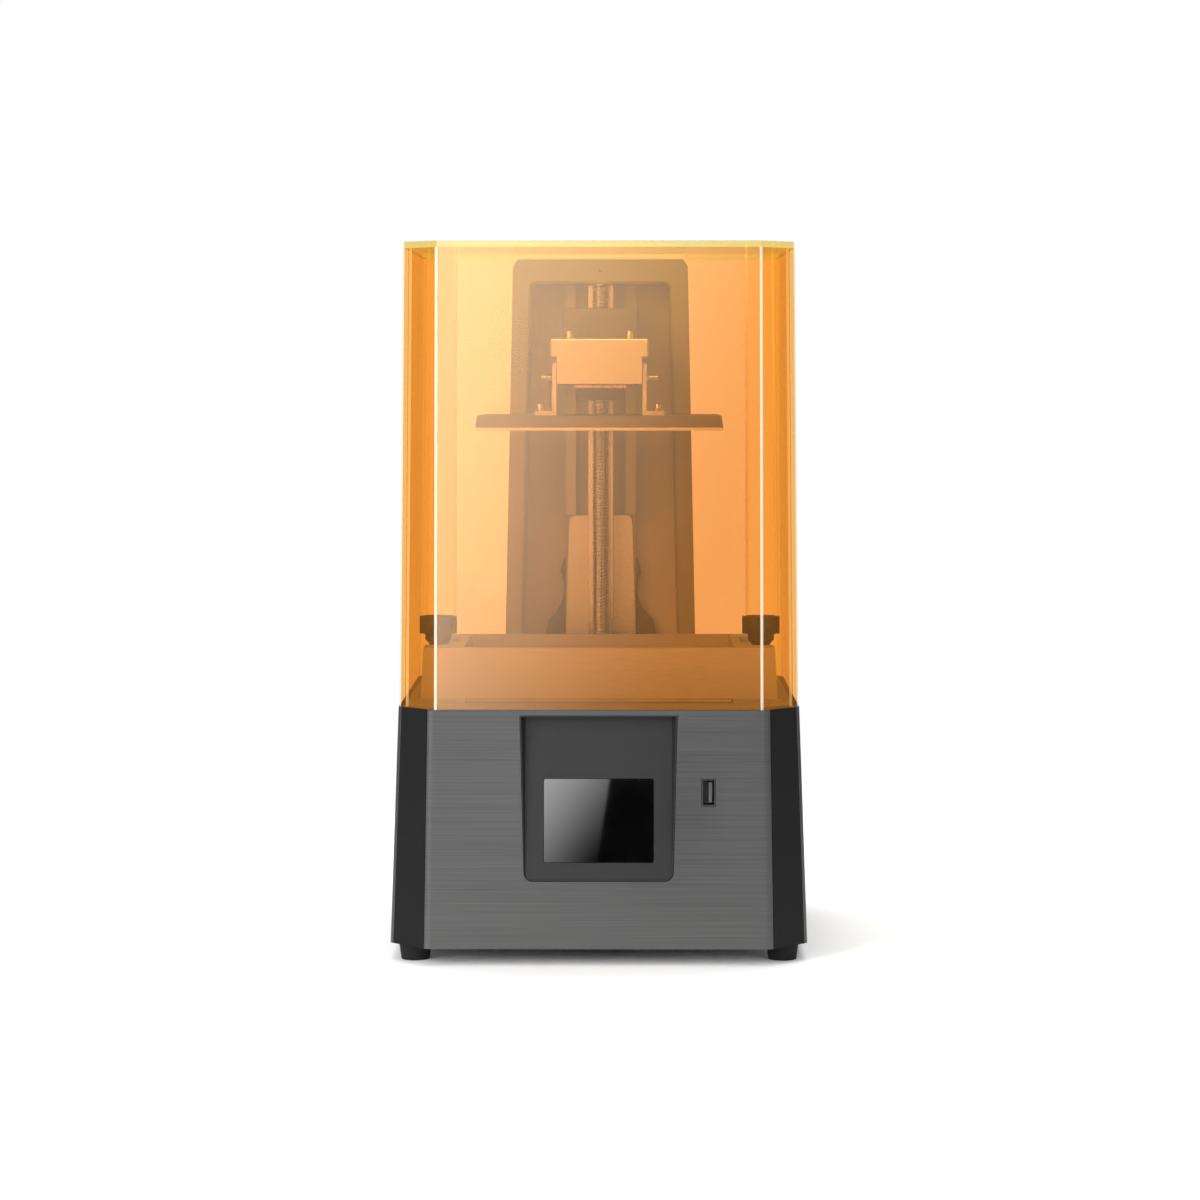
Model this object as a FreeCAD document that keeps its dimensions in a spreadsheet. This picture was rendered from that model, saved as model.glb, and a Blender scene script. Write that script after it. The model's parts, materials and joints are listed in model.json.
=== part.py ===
"""Desktop resin printer: flared octagonal base, amber lift-off cover, vat, build plate and Z column.

Millimetres. +Z is up, the front faces -Y, and the origin is the floor point under the middle of the base.
"""
import FreeCAD, Part
import os
import re
import Sketcher

DIMENSIONS = {
    # base housing, an octagon that flares towards the floor
    "base_half_top": 113.0,
    "base_flare_out": 5.0,
    "base_tall": 133.7,
    "base_corner_cut": 21.8,
    "corner_bend": 5.0,
    "sheet": 2.5,
    "panel_lip": 1.6,
    "seam": 0.25,
    # feet
    "foot_tall": 9.5,
    "foot_top_radius": 9.3,
    "foot_floor_radius": 8.0,
    "foot_inset_x": 14.0,
    "foot_inset_y": 26.0,
    "foot_recess_radius": 4.2,
    "foot_recess_deep": 4.5,
    "foot_screw_past": 2.0,
    # machine screws
    "screw_radius": 1.5,
    "screw_head_radius": 2.75,
    "screw_head_tall": 2.8,
    "hole_radius": 1.7,
    # bottom plate
    "bottom_thick": 2.5,
    "vent_long": 60.0,
    "vent_wide": 3.0,
    "vent_pitch": 9.0,
    "standoff_radius": 3.0,
    "standoff_tall": 5.0,
    # deck and the mask screen set into it
    "deck_thick": 4.0,
    "deck_raise": 1.0,
    "deck_clear": 0.4,
    "mask_gap": 0.8,
    "mask_thick": 2.4,
    "mask_seat_deep": 1.0,
    "mask_border": 4.0,
    "work_y": -27.0,
    # display recess in the front panel
    "recess_half_top": 44.2,
    "recess_half_bottom": 41.9,
    "recess_rise": 37.8,
    "recess_drop": 2.8,
    "recess_bend": 5.2,
    "recess_lip": 0.6,
    "face_half": 41.1,
    "face_deep_top": 7.5,
    "face_deep_bottom": 1.2,
    "bezel_deep": 11.0,
    "bezel_flange": 4.0,
    "bezel_flange_thick": 2.5,
    "glass_half": 30.6,
    "glass_tall": 46.6,
    "glass_rise": 10.5,
    "glass_thick": 2.0,
    "glass_bend": 1.04,
    "glass_proud": 0.2,
    "module_thick": 4.0,
    # data socket in the front panel
    "usb_x": 61.4,
    "usb_rise": 87.8,
    "usb_wide": 7.5,
    "usb_tall": 14.9,
    "usb_deep": 15.0,
    "usb_wall": 0.6,
    "tongue_thick": 1.8,
    "tongue_deep": 11.0,
    "usb_backstop": 2.0,
    "usb_offset": 1.0,
    # exposure lamp under the mask screen
    "lamp_over": 1.7,
    "lamp_wall": 2.0,
    "lamp_tall": 74.0,
    "lens_height": 40.0,
    "lens_ledge": 3.5,
    "lens_thick": 3.0,
    "led_board_thick": 2.0,
    "led_half": 2.0,
    "led_tall": 2.2,
    "sink_base_thick": 5.0,
    "sink_fin_tall": 17.0,
    "sink_fin_thick": 2.0,
    "sink_fin_pitch": 9.0,
    # control board on the bottom plate
    "board_half_x": 55.0,
    "board_half_y": 38.0,
    "board_thick": 1.6,
    "board_y": 30.0,
    "board_hole_inset": 5.0,
    "chip_half": 8.0,
    "chip_tall": 3.0,
    "plug_tall": 9.0,
    # lift motor and screw
    "screw_inset": 11.0,
    "motor_half": 21.15,
    "motor_tall": 40.0,
    "motor_corner": 4.0,
    "motor_boss_radius": 11.0,
    "motor_boss_tall": 2.0,
    "motor_hole_half": 15.5,
    "lead_radius": 5.0,
    "journal_radius": 4.0,
    "journal_deep": 25.0,
    "running_gap": 0.05,
    "bearing_radius": 11.0,
    "bearing_tall": 7.0,
    # tower at the back of the deck
    "tower_inset": 65.0,
    "tower_deep": 55.0,
    "tower_half_bottom": 58.0,
    "tower_half_top": 52.6,
    "header_tall": 14.4,
    "tower_crop_x": 3.0,
    "tower_crop_z": 4.2,
    "tower_back_wall": 6.0,
    "channel_side_bottom": 10.4,
    "channel_side_top": 10.9,
    "channel_tall": 240.4,
    "channel_bend": 3.0,
    "channel_bevel": 1.4,
    # column, linear rail and the bracket at its foot
    "column_half": 21.6,
    "column_web": 6.0,
    "flange_wide": 6.4,
    "flange_deep": 12.0,
    "rail_half": 7.5,
    "rail_deep": 10.0,
    "rail_groove": 1.6,
    "bracket_tall": 99.0,
    "bracket_half_top": 19.3,
    "bracket_half_bottom": 22.4,
    "bracket_thick": 2.0,
    "bracket_bend": 4.0,
    "bracket_foot_gap": 1.0,
    "gusset_half": 33.6,
    "gusset_tall": 72.0,
    "gusset_shoulder": 28.0,
    "gusset_radius": 26.0,
    "gusset_tip": 1.0,
    # end switch beside the column
    "switch_offset": 8.1,
    "switch_half": 5.0,
    "switch_tall": 15.0,
    "switch_deep": 12.0,
    "switch_slot_half": 2.0,
    "switch_slot_deep": 9.0,
    "flag_thick": 1.2,
    "flag_reach": 6.5,
    "flag_wide": 8.0,
    "flag_inset": 2.0,
    # carriage on the rail
    "carriage_half": 22.9,
    "carriage_drop": 14.7,
    "carriage_tall": 46.3,
    "carriage_deep": 20.0,
    "carriage_gap": 1.0,
    "shelf_deep": 24.0,
    "shelf_thick": 6.5,
    "slider_half": 14.0,
    "slider_tall": 40.0,
    "slider_clear": 0.3,
    "nut_radius": 7.0,
    "nut_long": 16.0,
    "nut_flange_half": 16.0,
    "nut_flange_thick": 1.8,
    "nut_flange_rim": 1.0,
    "backlash_half": 15.0,
    "backlash_tall": 7.3,
    "nut_clear": 0.08,
    # arm that carries the build platform
    "arm_half": 28.1,
    "arm_rise": 16.1,
    "arm_tall": 10.7,
    "block_half": 24.4,
    "block_tall": 15.0,
    "block_deep": 42.0,
    "arm_bevel": 0.8,
    "arm_screw_x": 18.0,
    "arm_screw_inset": 8.0,
    "arm_head_radius": 2.8,
    "arm_head_tall": 5.4,
    # build platform
    "ear_gap": 0.4,
    "ear_thick": 2.4,
    "ear_deep": 32.0,
    "ear_reach": 12.4,
    "level_travel": 3.0,
    "pin_radius": 1.2,
    "pin_reach": 9.2,
    "pin_bury": 6.0,
    "pin_pitch": 20.0,
    "pin_drop": 11.7,
    "slot_clear": 0.25,
    "plate_drop": 41.4,
    "plate_clear_x": 2.5,
    "plate_clear_y": 4.0,
    "plate_thick": 6.6,
    "plate_draft": 1.0,
    "plate_face_thick": 1.7,
    "plate_screw_inset": 3.3,
    "plate_head_radius": 2.35,
    "plate_head_tall": 4.0,
    # vat, its film and the rails that it stands on
    "vat_margin": 11.1,
    "vat_lean": 1.6,
    "vat_deep": 102.0,
    "vat_tall": 29.0,
    "vat_wall": 5.0,
    "vat_side": 24.4,
    "well_lean": 4.0,
    "ear_drop": 3.0,
    "ear_length": 60.0,
    "film_thick": 0.3,
    "film_frame_thick": 1.4,
    "film_lap": 2.4,
    "film_frame_wide": 4.8,
    "rail_pad_gap": 0.5,
    "rail_pad_side": 1.8,
    "rail_pad_thick": 2.0,
    "rail_pad_over": 2.0,
    # vat knobs
    "knob_inset": 7.4,
    "knob_radius": 10.9,
    "knob_head_tall": 10.0,
    "knob_dome": 2.6,
    "knob_edge_bend": 1.56,
    "knob_collar_radius": 7.6,
    "knob_collar_tall": 4.2,
    "knob_nose_radius": 4.6,
    "knob_shank_radius": 2.5,
    "knob_shank_end": 2.4,
    "knob_clear": 0.4,
    # cover
    "cover_step": 0.5,
    "cover_lean": 2.9,
    "cover_headroom": 1.6,
    "cover_corner_cut": 21.3,
    "cover_wall": 3.0,
    "cover_bend": 1.6,
    "lid_thick": 3.6,
    "lid_inset": 0.5,
    # cooling fan, power socket and switch in the rear panel
    "fan_inset": 61.0,
    "fan_rise": 70.5,
    "fan_half": 30.0,
    "fan_deep": 15.0,
    "fan_throat": 28.5,
    "fan_hub_radius": 12.5,
    "fan_post_radius": 3.0,
    "fan_blade_gap": 1.2,
    "fan_blade_thick": 1.6,
    "fan_blade_pitch": 35.0,
    "fan_spider_thick": 3.0,
    "fan_spider_wide": 4.0,
    "fan_spider_bury": 1.0,
    "fan_hole_half": 25.0,
    "grille_pitch": 7.0,
    "grille_slot": 3.6,
    "jack_inset": 68.0,
    "jack_rise": 70.5,
    "jack_radius": 4.6,
    "jack_bore": 2.8,
    "jack_pin": 1.0,
    "jack_deep": 12.0,
    "jack_bore_deep": 9.0,
    "jack_half": 7.0,
    "jack_proud": 0.8,
    "power_inset": 37.0,
    "power_rise": 70.5,
    "power_half_x": 7.0,
    "power_half_z": 10.5,
    "power_deep": 14.0,
    "power_rim": 1.8,
    "power_proud": 1.6,
    "rocker_clear": 0.5,
    "rocker_proud": 2.4,
    "rocker_pin_radius": 1.2,
    "rocker_back": 1.92,
    "rocker_back_share": 0.5,
    "rocker_bevel": 1.6,
    "rocker_end_share": 0.94,
    "rocker_dip_share": 0.72,
    "rocker_tilt": 7.0,
}

DERIVED = {
    # share of an offset by which the corner of a regular octagon moves along its side
    "octagon_share": "(sqrt(2) - 1)",
    # base and cover
    "base_half_bottom": "base_half_top + base_flare_out",
    "flare": "atan(base_flare_out / base_tall)",
    "corner_bottom": "base_half_bottom - base_corner_cut",
    "corner_top": "corner_bottom - base_flare_out * octagon_share",
    "foot_x": "base_half_bottom - foot_inset_x",
    "foot_y": "base_half_bottom - foot_inset_y",
    "bottom_top": "foot_tall + bottom_thick",
    "rim_z": "foot_tall + base_tall",
    "deck_top": "rim_z + deck_raise",
    "deck_floor": "rim_z - deck_thick",
    "cover_half_bottom": "base_half_top - cover_step",
    "cover_half_top": "cover_half_bottom - cover_lean",
    "cover_tall": "tower_top + cover_headroom - rim_z",
    "draft": "atan(cover_lean / cover_tall)",
    # front and rear panels
    "recess_floor_z": "foot_tall + recess_rise",
    "recess_top_z": "rim_z - recess_drop",
    "glass_floor_z": "recess_floor_z + glass_rise",
    "usb_z": "foot_tall + usb_rise",
    "fan_x": "base_half_top - fan_inset",
    "fan_z": "foot_tall + fan_rise",
    "jack_x": "-(base_half_top - jack_inset)",
    "jack_z": "foot_tall + jack_rise",
    "power_x": "-(base_half_top - power_inset)",
    "power_z": "foot_tall + power_rise",
    # vat and what lies under it
    "vat_floor": "deck_top + rail_pad_thick",
    "vat_top": "vat_floor + vat_tall",
    "vat_front_y": "work_y - vat_deep / 2",
    "vat_back_y": "work_y + vat_deep / 2",
    "vat_half_bottom": "cover_half_bottom - vat_margin",
    "vat_half_top": "vat_half_bottom - vat_lean",
    "well_half_top": "vat_half_bottom - vat_side",
    "well_half_bottom": "well_half_top - well_lean",
    "knob_x": "vat_half_bottom - knob_inset",
    "film_floor": "vat_floor - film_thick",
    "film_frame_half_x": "well_half_bottom + film_lap",
    "film_frame_half_y": "vat_deep / 2 - seam",
    "rail_pad_inner": "film_frame_half_x + rail_pad_gap",
    "rail_pad_outer": "vat_half_bottom + rail_pad_side",
    "mask_half_x": "film_frame_half_x - film_frame_wide - mask_gap",
    "mask_half_y": "film_frame_half_y - film_frame_wide - mask_gap",
    "lamp_floor": "deck_floor - lamp_tall",
    "lamp_half_x": "mask_half_x + lamp_over",
    "lamp_half_y": "mask_half_y + lamp_over",
    "led_reach_x": "lamp_half_x - lamp_wall - lens_ledge - led_half * 4",
    "led_reach_y": "lamp_half_y - lamp_wall - lens_ledge - led_half * 4",
    # tower, column and carriage
    "channel_top": "deck_top + channel_tall",
    "channel_half_top": "tower_half_top - channel_side_top",
    "channel_half_bottom": "tower_half_bottom - channel_side_bottom",
    "tower_top": "channel_top + header_tall",
    "tower_front_y": "base_half_top - tower_inset",
    "tower_back_y": "tower_front_y + tower_deep",
    "screw_y": "tower_front_y + screw_inset",
    "web_back_y": "tower_back_y - tower_back_wall",
    "web_front_y": "web_back_y - column_web",
    "rail_front_y": "web_front_y - rail_deep",
    "bracket_front_y": "web_front_y - bracket_thick",
    "bracket_toe_y": "screw_y + motor_hole_half + screw_head_radius + bracket_foot_gap",
    "carriage_front_y": "tower_front_y + carriage_gap",
    "carriage_back_y": "carriage_front_y + carriage_deep",
    "carriage_top": "channel_top - carriage_drop",
    "carriage_floor_z": "carriage_top - carriage_tall",
    "switch_x": "-(carriage_half + switch_offset)",
    # arm and build platform
    "arm_floor_z": "carriage_floor_z + arm_rise",
    "arm_front_y": "work_y - block_deep / 2",
    "arm_screw_y": "carriage_front_y - shelf_deep + arm_screw_inset",
    "pin_z": "arm_floor_z - pin_drop",
    "plate_floor_z": "arm_floor_z - plate_drop",
    "plate_top": "plate_floor_z + plate_face_thick + plate_thick",
    "plate_half_x": "well_half_bottom - plate_clear_x",
    "plate_half_y": "vat_deep / 2 - vat_wall - plate_clear_y",
    "plate_screw_x": "block_half + ear_gap + ear_reach - plate_screw_inset",
    "ear_tall": "arm_floor_z - plate_top - level_travel - ear_gap",
}

CELL_NAMES = "|".join(sorted(DIMENSIONS, key=len, reverse=True))
DERIVED_NAMES = "|".join(sorted(DERIVED, key=len, reverse=True))

doc = FreeCAD.newDocument("resin_printer")
sheet = doc.addObject("Spreadsheet::Sheet", "dims")
for row, (alias, number) in enumerate(DIMENSIONS.items(), start=1):
    sheet.set(f"A{row}", alias)
    sheet.set(f"B{row}", str(number))
    sheet.setAlias(f"B{row}", alias)
doc.recompute()

sub_parts = {}
pockets = []


def formula(text):
    """Spell a size out in cells of the sheet."""
    text = str(text)
    while re.search(rf"\b({DERIVED_NAMES})\b", text):
        text = re.sub(rf"\b({DERIVED_NAMES})\b", lambda hit: f"({DERIVED[hit.group(1)]})", text)
    return re.sub(rf"(?<![.\w])({CELL_NAMES})\b", r"dims.\1", text)


def number_of(text):
    """The present value of a size."""
    result = sheet.evalExpression(formula(text))
    return float(getattr(result, "Value", result))


def bind(item, prop, text):
    item.setExpression(prop, formula(text))


def keep(item, label):
    """Name a finished sub-part."""
    item.Label = label
    sub_parts[label] = item
    return item


def new_body(name):
    return doc.addObject("PartDesign::Body", name)


def new_sketch(body, role, offset):
    plane = next(item for item in body.Origin.OriginFeatures if item.Role == role)
    sketch = body.newObject("Sketcher::SketchObject", body.Name + "_sketch")
    sketch.AttachmentSupport = [(plane, "")]
    sketch.MapMode = "FlatFace"
    bind(sketch, "AttachmentOffset.Base.z", offset)
    return sketch


def fix_point(sketch, geometry, end, point):
    """Hold one end or centre of a sketch element at a place given by two sizes."""
    for kind, text in zip(("DistanceX", "DistanceY"), point):
        index = sketch.addConstraint(Sketcher.Constraint(kind, -1, 1, geometry, end, number_of(text)))
        sketch.setExpression(f"Constraints[{index}]", formula(text))


def draw_polygon(sketch, points):
    places = [FreeCAD.Vector(number_of(x), number_of(y), 0) for x, y in points]
    first = sketch.GeometryCount
    count = len(points)
    for k in range(count):
        sketch.addGeometry(Part.LineSegment(places[k], places[(k + 1) % count]), False)
    for k in range(count):
        sketch.addConstraint(Sketcher.Constraint("Coincident", first + k, 2, first + (k + 1) % count, 1))
    for k in range(count):
        fix_point(sketch, first + k, 1, points[k])


def draw_circle(sketch, centre, radius):
    middle = FreeCAD.Vector(number_of(centre[0]), number_of(centre[1]), 0)
    circle = Part.Circle(middle, FreeCAD.Vector(0, 0, 1), number_of(radius))
    index = sketch.addGeometry(circle, False)
    fix_point(sketch, index, 3, centre)
    size = sketch.addConstraint(Sketcher.Constraint("Radius", index, number_of(radius)))
    sketch.setExpression(f"Constraints[{size}]", formula(radius))


def box_points(x0, x1, y0, y1):
    return [(x0, y0), (x1, y0), (x1, y1), (x0, y1)]


def centred(half_x, half_y, x="0", y="0"):
    """Corners of a rectangle about a middle point."""
    return box_points(f"{x} - ({half_x})", f"{x} + {half_x}", f"{y} - ({half_y})", f"{y} + {half_y}")


# plane of a sketch, and whether its normal runs along the named axis or against it
PLANES = {"x": ("YZ_Plane", 1), "y": ("XZ_Plane", -1), "z": ("XY_Plane", 1)}


def extrude(body, axis, start, end, polygons=(), circles=(), taper=None, cut=False):
    """Pad or pocket a profile from one place on an axis to another."""
    role, sense = PLANES[axis]
    offset = start if sense > 0 else f"-({end})"
    sketch = new_sketch(body, role, offset)
    for points in polygons:
        draw_polygon(sketch, points)
    for centre, radius in circles:
        draw_circle(sketch, centre, radius)
    feature = body.newObject("PartDesign::Pocket" if cut else "PartDesign::Pad", body.Name + "_step")
    feature.Profile = sketch
    bind(feature, "Length", f"({end}) - ({start})")
    if taper:
        bind(feature, "TaperAngle", taper)
    if cut:
        feature.Reversed = True
        pockets.append(feature)
    return feature


def revolve(body, points, offset="0"):
    """Turn a profile of radius and height about the body's Z axis."""
    sketch = new_sketch(body, "XZ_Plane", offset)
    draw_polygon(sketch, points)
    feature = body.newObject("PartDesign::Revolution", body.Name + "_turn")
    feature.Profile = sketch
    feature.ReferenceAxis = (sketch, ["V_Axis"])
    feature.Angle = 360
    return feature


def loft(body, kind, axis, sections):
    """Join two polygons that stand at two places on an axis."""
    role, sense = PLANES[axis]
    sketches = []
    for place, points in sections:
        sketch = new_sketch(body, role, place if sense > 0 else f"-({place})")
        draw_polygon(sketch, points)
        sketches.append(sketch)
    feature = body.newObject(kind, body.Name + "_loft")
    feature.Profile = sketches[0]
    feature.Sections = sketches[1:]
    feature.Ruled = True
    return feature


def dress(body, kind, size_name, size, base, wanted):
    """Fillet or chamfer the edges of a feature whose middle and direction pass a test."""
    doc.recompute()
    names = []
    for number, edge in enumerate(base.Shape.Edges, start=1):
        middle = edge.valueAt((edge.FirstParameter + edge.LastParameter) / 2)
        along = edge.tangentAt((edge.FirstParameter + edge.LastParameter) / 2)
        if wanted(middle, along):
            names.append(f"Edge{number}")
    feature = body.newObject(kind, body.Name + "_edge")
    feature.Base = (base, names)
    bind(feature, size_name, size)
    return feature


def fillet(body, radius, base, wanted):
    return dress(body, "PartDesign::Fillet", "Radius", radius, base, wanted)


def chamfer(body, size, base, wanted):
    return dress(body, "PartDesign::Chamfer", "Size", size, base, wanted)


def place(item, x="0", y="0", z="0", axis=None, angle=None):
    """Bind a sub-part's place, and its turn about one axis."""
    for letter, text in (("x", x), ("y", y), ("z", z)):
        bind(item, f"Placement.Base.{letter}", text)
    if axis:
        item.Placement.Rotation = FreeCAD.Rotation(FreeCAD.Vector(*axis), number_of(angle))
        bind(item, "Placement.Rotation.Angle", angle)
    return item


def lean_front(item):
    """Stand a sub-part on the leaning front panel: local y runs inwards, local z up the panel."""
    return place(item, "0", "-(base_half_bottom)", "foot_tall", (-1, 0, 0), "flare")


def lean_back(item):
    """Stand a sub-part on the leaning rear panel: local y runs outwards, local z up the panel."""
    return place(item, "0", "base_half_bottom", "foot_tall", (1, 0, 0), "flare")


def cut(name, base, *tools):
    feature = doc.addObject("Part::Cut", name)
    feature.Base = base
    feature.Tool = tools[0] if len(tools) == 1 else fuse(name + "_tools", *tools)
    return feature


def fuse(name, *items):
    feature = doc.addObject("Part::MultiFuse", name)
    feature.Shapes = list(items)
    return feature


def common(name, *items):
    feature = doc.addObject("Part::MultiCommon", name)
    feature.Shapes = list(items)
    return feature


def group(label, items):
    """Several like pieces that share one node."""
    feature = doc.addObject("Part::Compound", label)
    feature.Links = list(items)
    return keep(feature, label)


def octagon(half, corner):
    """A square of half width half, with its corners cut at 45 degrees from the place corner on each side."""
    return [
        (f"-({corner})", f"-({half})"), (corner, f"-({half})"), (half, f"-({corner})"), (half, corner),
        (corner, half), (f"-({corner})", half), (f"-({half})", corner), (f"-({half})", f"-({corner})"),
    ]


def rising(middle, along):
    """True for an edge that runs up a wall."""
    return abs(along.z) > 0.9


def screw(name, x, y, z, head_radius, head_tall, radius, long, flip=False):
    """A cap screw that stands on z, with its shank below, or the other way up."""
    body = new_body(name)
    revolve(body, [
        ("0", f"-({long})"), (radius, f"-({long})"), (radius, "0"), (head_radius, "0"),
        (head_radius, head_tall), ("0", head_tall),
    ])
    if flip:
        return place(body, x, y, z, (1, 0, 0), "180")
    return place(body, x, y, z)


def make_base_skin():
    """The flared sheet skin of the base, before it is parted into panels and corners."""
    outer = new_body("skin_outer")
    wall = extrude(outer, "z", "foot_tall", "rim_z", [octagon("base_half_bottom", "corner_bottom")],
                   taper="-(flare)")
    fillet(outer, "corner_bend", wall, rising)
    inner = new_body("skin_inner")
    inner_half = "base_half_bottom - sheet"
    inner_corner = "corner_bottom - sheet * octagon_share"
    hollow = extrude(inner, "z", "foot_tall", "rim_z", [octagon(inner_half, inner_corner)], taper="-(flare)")
    fillet(inner, "corner_bend - sheet", hollow, rising)
    return cut("base_skin", outer, inner)


# turn of each side of the housing from the front, as an axis and an angle
SIDES = {
    "front": ((0, 0, 1), "0"),
    "right": ((0, 0, 1), "90"),
    "rear": ((0, 0, 1), "180"),
    "left": ((0, 0, -1), "90"),
}


def panel_slice(side, spare):
    """The block that one flat side of the skin, with its bent edges, is cut out by."""
    body = new_body(side + "_slice")
    wide_bottom = f"(corner_bottom + panel_lip + {spare})"
    wide_top = f"(corner_top + panel_lip + {spare})"
    outline = [
        (f"-{wide_bottom}", "foot_tall"), (wide_bottom, "foot_tall"),
        (wide_top, "rim_z"), (f"-{wide_top}", "rim_z"),
    ]
    extrude(body, "y", "-(base_half_bottom + sheet)", "-(base_half_top / 2)", [outline])
    axis, angle = SIDES[side]
    return place(body, axis=axis, angle=angle)


def recess_outline(spare):
    """The display opening on the leaning panel, drawn this much smaller all round."""
    low = f"(recess_floor_z - foot_tall + {spare})"
    high = f"(recess_top_z - foot_tall - ({spare}))"
    return [
        (f"-(recess_half_bottom - ({spare}))", low), (f"recess_half_bottom - ({spare})", low),
        (f"recess_half_top - ({spare})", high), (f"-(recess_half_top - ({spare}))", high),
    ]


def low_corner(middle, along):
    """True for the edges through the two lower corners of the display opening."""
    return abs(along.y) > 0.9 and middle.z < number_of("recess_floor_z - foot_tall + recess_bend")


def make_panels():
    """Front, side and rear panels and the four dark corners between them."""
    skin = make_base_skin()
    recess = new_body("recess_opening")
    hole = extrude(recess, "y", "-(sheet)", "sheet * 2", [recess_outline("0")])
    fillet(recess, "recess_bend", hole, low_corner)
    lean_front(recess)
    usb_slot = new_body("usb_opening")
    slot_half = ("usb_wide / 2 + seam", "usb_tall / 2 + seam")
    extrude(usb_slot, "y", "-(sheet)", "sheet * 2", [centred(*slot_half, "usb_x", "usb_z - foot_tall")])
    lean_front(usb_slot)
    front = common("front_blank", skin, panel_slice("front", "0"))
    keep(cut("front_cut", front, recess, usb_slot), "front_panel")
    keep(common("right_blank", skin, panel_slice("right", "0")), "right_panel")
    keep(common("left_blank", skin, panel_slice("left", "0")), "left_panel")
    rear_slice = cut("rear_pierced", panel_slice("rear", "0"), make_rear_openings())
    keep(common("rear_blank", skin, rear_slice), "rear_panel")
    wider = [panel_slice(side, "seam") for side in SIDES]
    corners = cut("corner_ring", skin, *wider)
    quarters = {"front_left": (-1, -1), "front_right": (1, -1), "rear_left": (-1, 1), "rear_right": (1, 1)}
    for side, (along_x, along_y) in quarters.items():
        quarter = doc.addObject("Part::Box", side + "_quarter")
        for prop in ("Length", "Width"):
            bind(quarter, prop, "base_half_bottom")
        bind(quarter, "Height", "rim_z")
        place(quarter, "0" if along_x > 0 else "-(base_half_bottom)",
              "0" if along_y > 0 else "-(base_half_bottom)")
        keep(common(side + "_piece", corners, quarter), side + "_corner")


def make_rear_openings():
    """Fan grille slots, and the holes for the power socket and the switch."""
    body = new_body("rear_openings")
    slots = []
    rows = 3
    for row in range(-rows, rows + 1):
        middle = f"(fan_z - foot_tall + grille_pitch * {row})"
        reach = f"sqrt((fan_throat - seam) ^ 2 - (grille_pitch * {abs(row)} + grille_slot / 2) ^ 2)"
        slots.append(centred(reach, "grille_slot / 2", "fan_x", middle))
    slots.append(centred("power_half_x + seam", "power_half_z + seam", "power_x", "power_z - foot_tall"))
    holes = [(("jack_x", "jack_z - foot_tall"), "jack_radius + seam")]
    for x, z in fan_corners():
        holes.append(((x, z), "hole_radius"))
    extrude(body, "y", "-(sheet * 2)", "sheet", slots, holes)
    return lean_back(body)


def fan_corners():
    """Places of the four fan screws on the rear panel."""
    return [
        (f"fan_x + {i} * fan_hole_half", f"fan_z - foot_tall + {j} * fan_hole_half")
        for i in (-1, 1) for j in (-1, 1)
    ]


def make_bottom():
    """Bottom plate with vents and board standoffs, rubber feet and their screws."""
    body = new_body("bottom")
    half = "base_half_bottom - sheet - seam"
    corner = "corner_bottom - (sheet + seam) * octagon_share"
    extrude(body, "z", "foot_tall", "bottom_top", [octagon(half, corner)])
    standoffs = [((x, y), "standoff_radius") for x, y in board_corners()]
    extrude(body, "z", "bottom_top", "bottom_top + standoff_tall", circles=standoffs)
    places = [(f"{i} * foot_x", f"{j} * foot_y") for i in (-1, 1) for j in (-1, 1)]
    rows = 4
    vents = [centred("vent_long / 2", "vent_wide / 2", "0", f"work_y * 2 + {row} * vent_pitch")
             for row in range(-rows, 1)]
    holes = [(spot, "hole_radius") for spot in places]
    extrude(body, "z", "foot_tall", "bottom_top", vents, holes, cut=True)
    keep(body, "bottom_plate")
    group("feet", [make_foot(f"foot_{k}", spot) for k, spot in enumerate(places)])
    group("foot_screws", [
        screw(f"foot_screw_{k}", x, y, "foot_recess_deep", "screw_head_radius", "screw_head_tall",
              "screw_radius", "bottom_top - foot_recess_deep + foot_screw_past", flip=True)
        for k, (x, y) in enumerate(places)
    ])


def make_foot(name, spot):
    body = new_body(name)
    revolve(body, [
        ("foot_recess_radius", "0"), ("foot_floor_radius", "0"), ("foot_top_radius", "foot_tall"),
        ("hole_radius", "foot_tall"), ("hole_radius", "foot_recess_deep"),
        ("foot_recess_radius", "foot_recess_deep"),
    ])
    return place(body, *spot)


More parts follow.
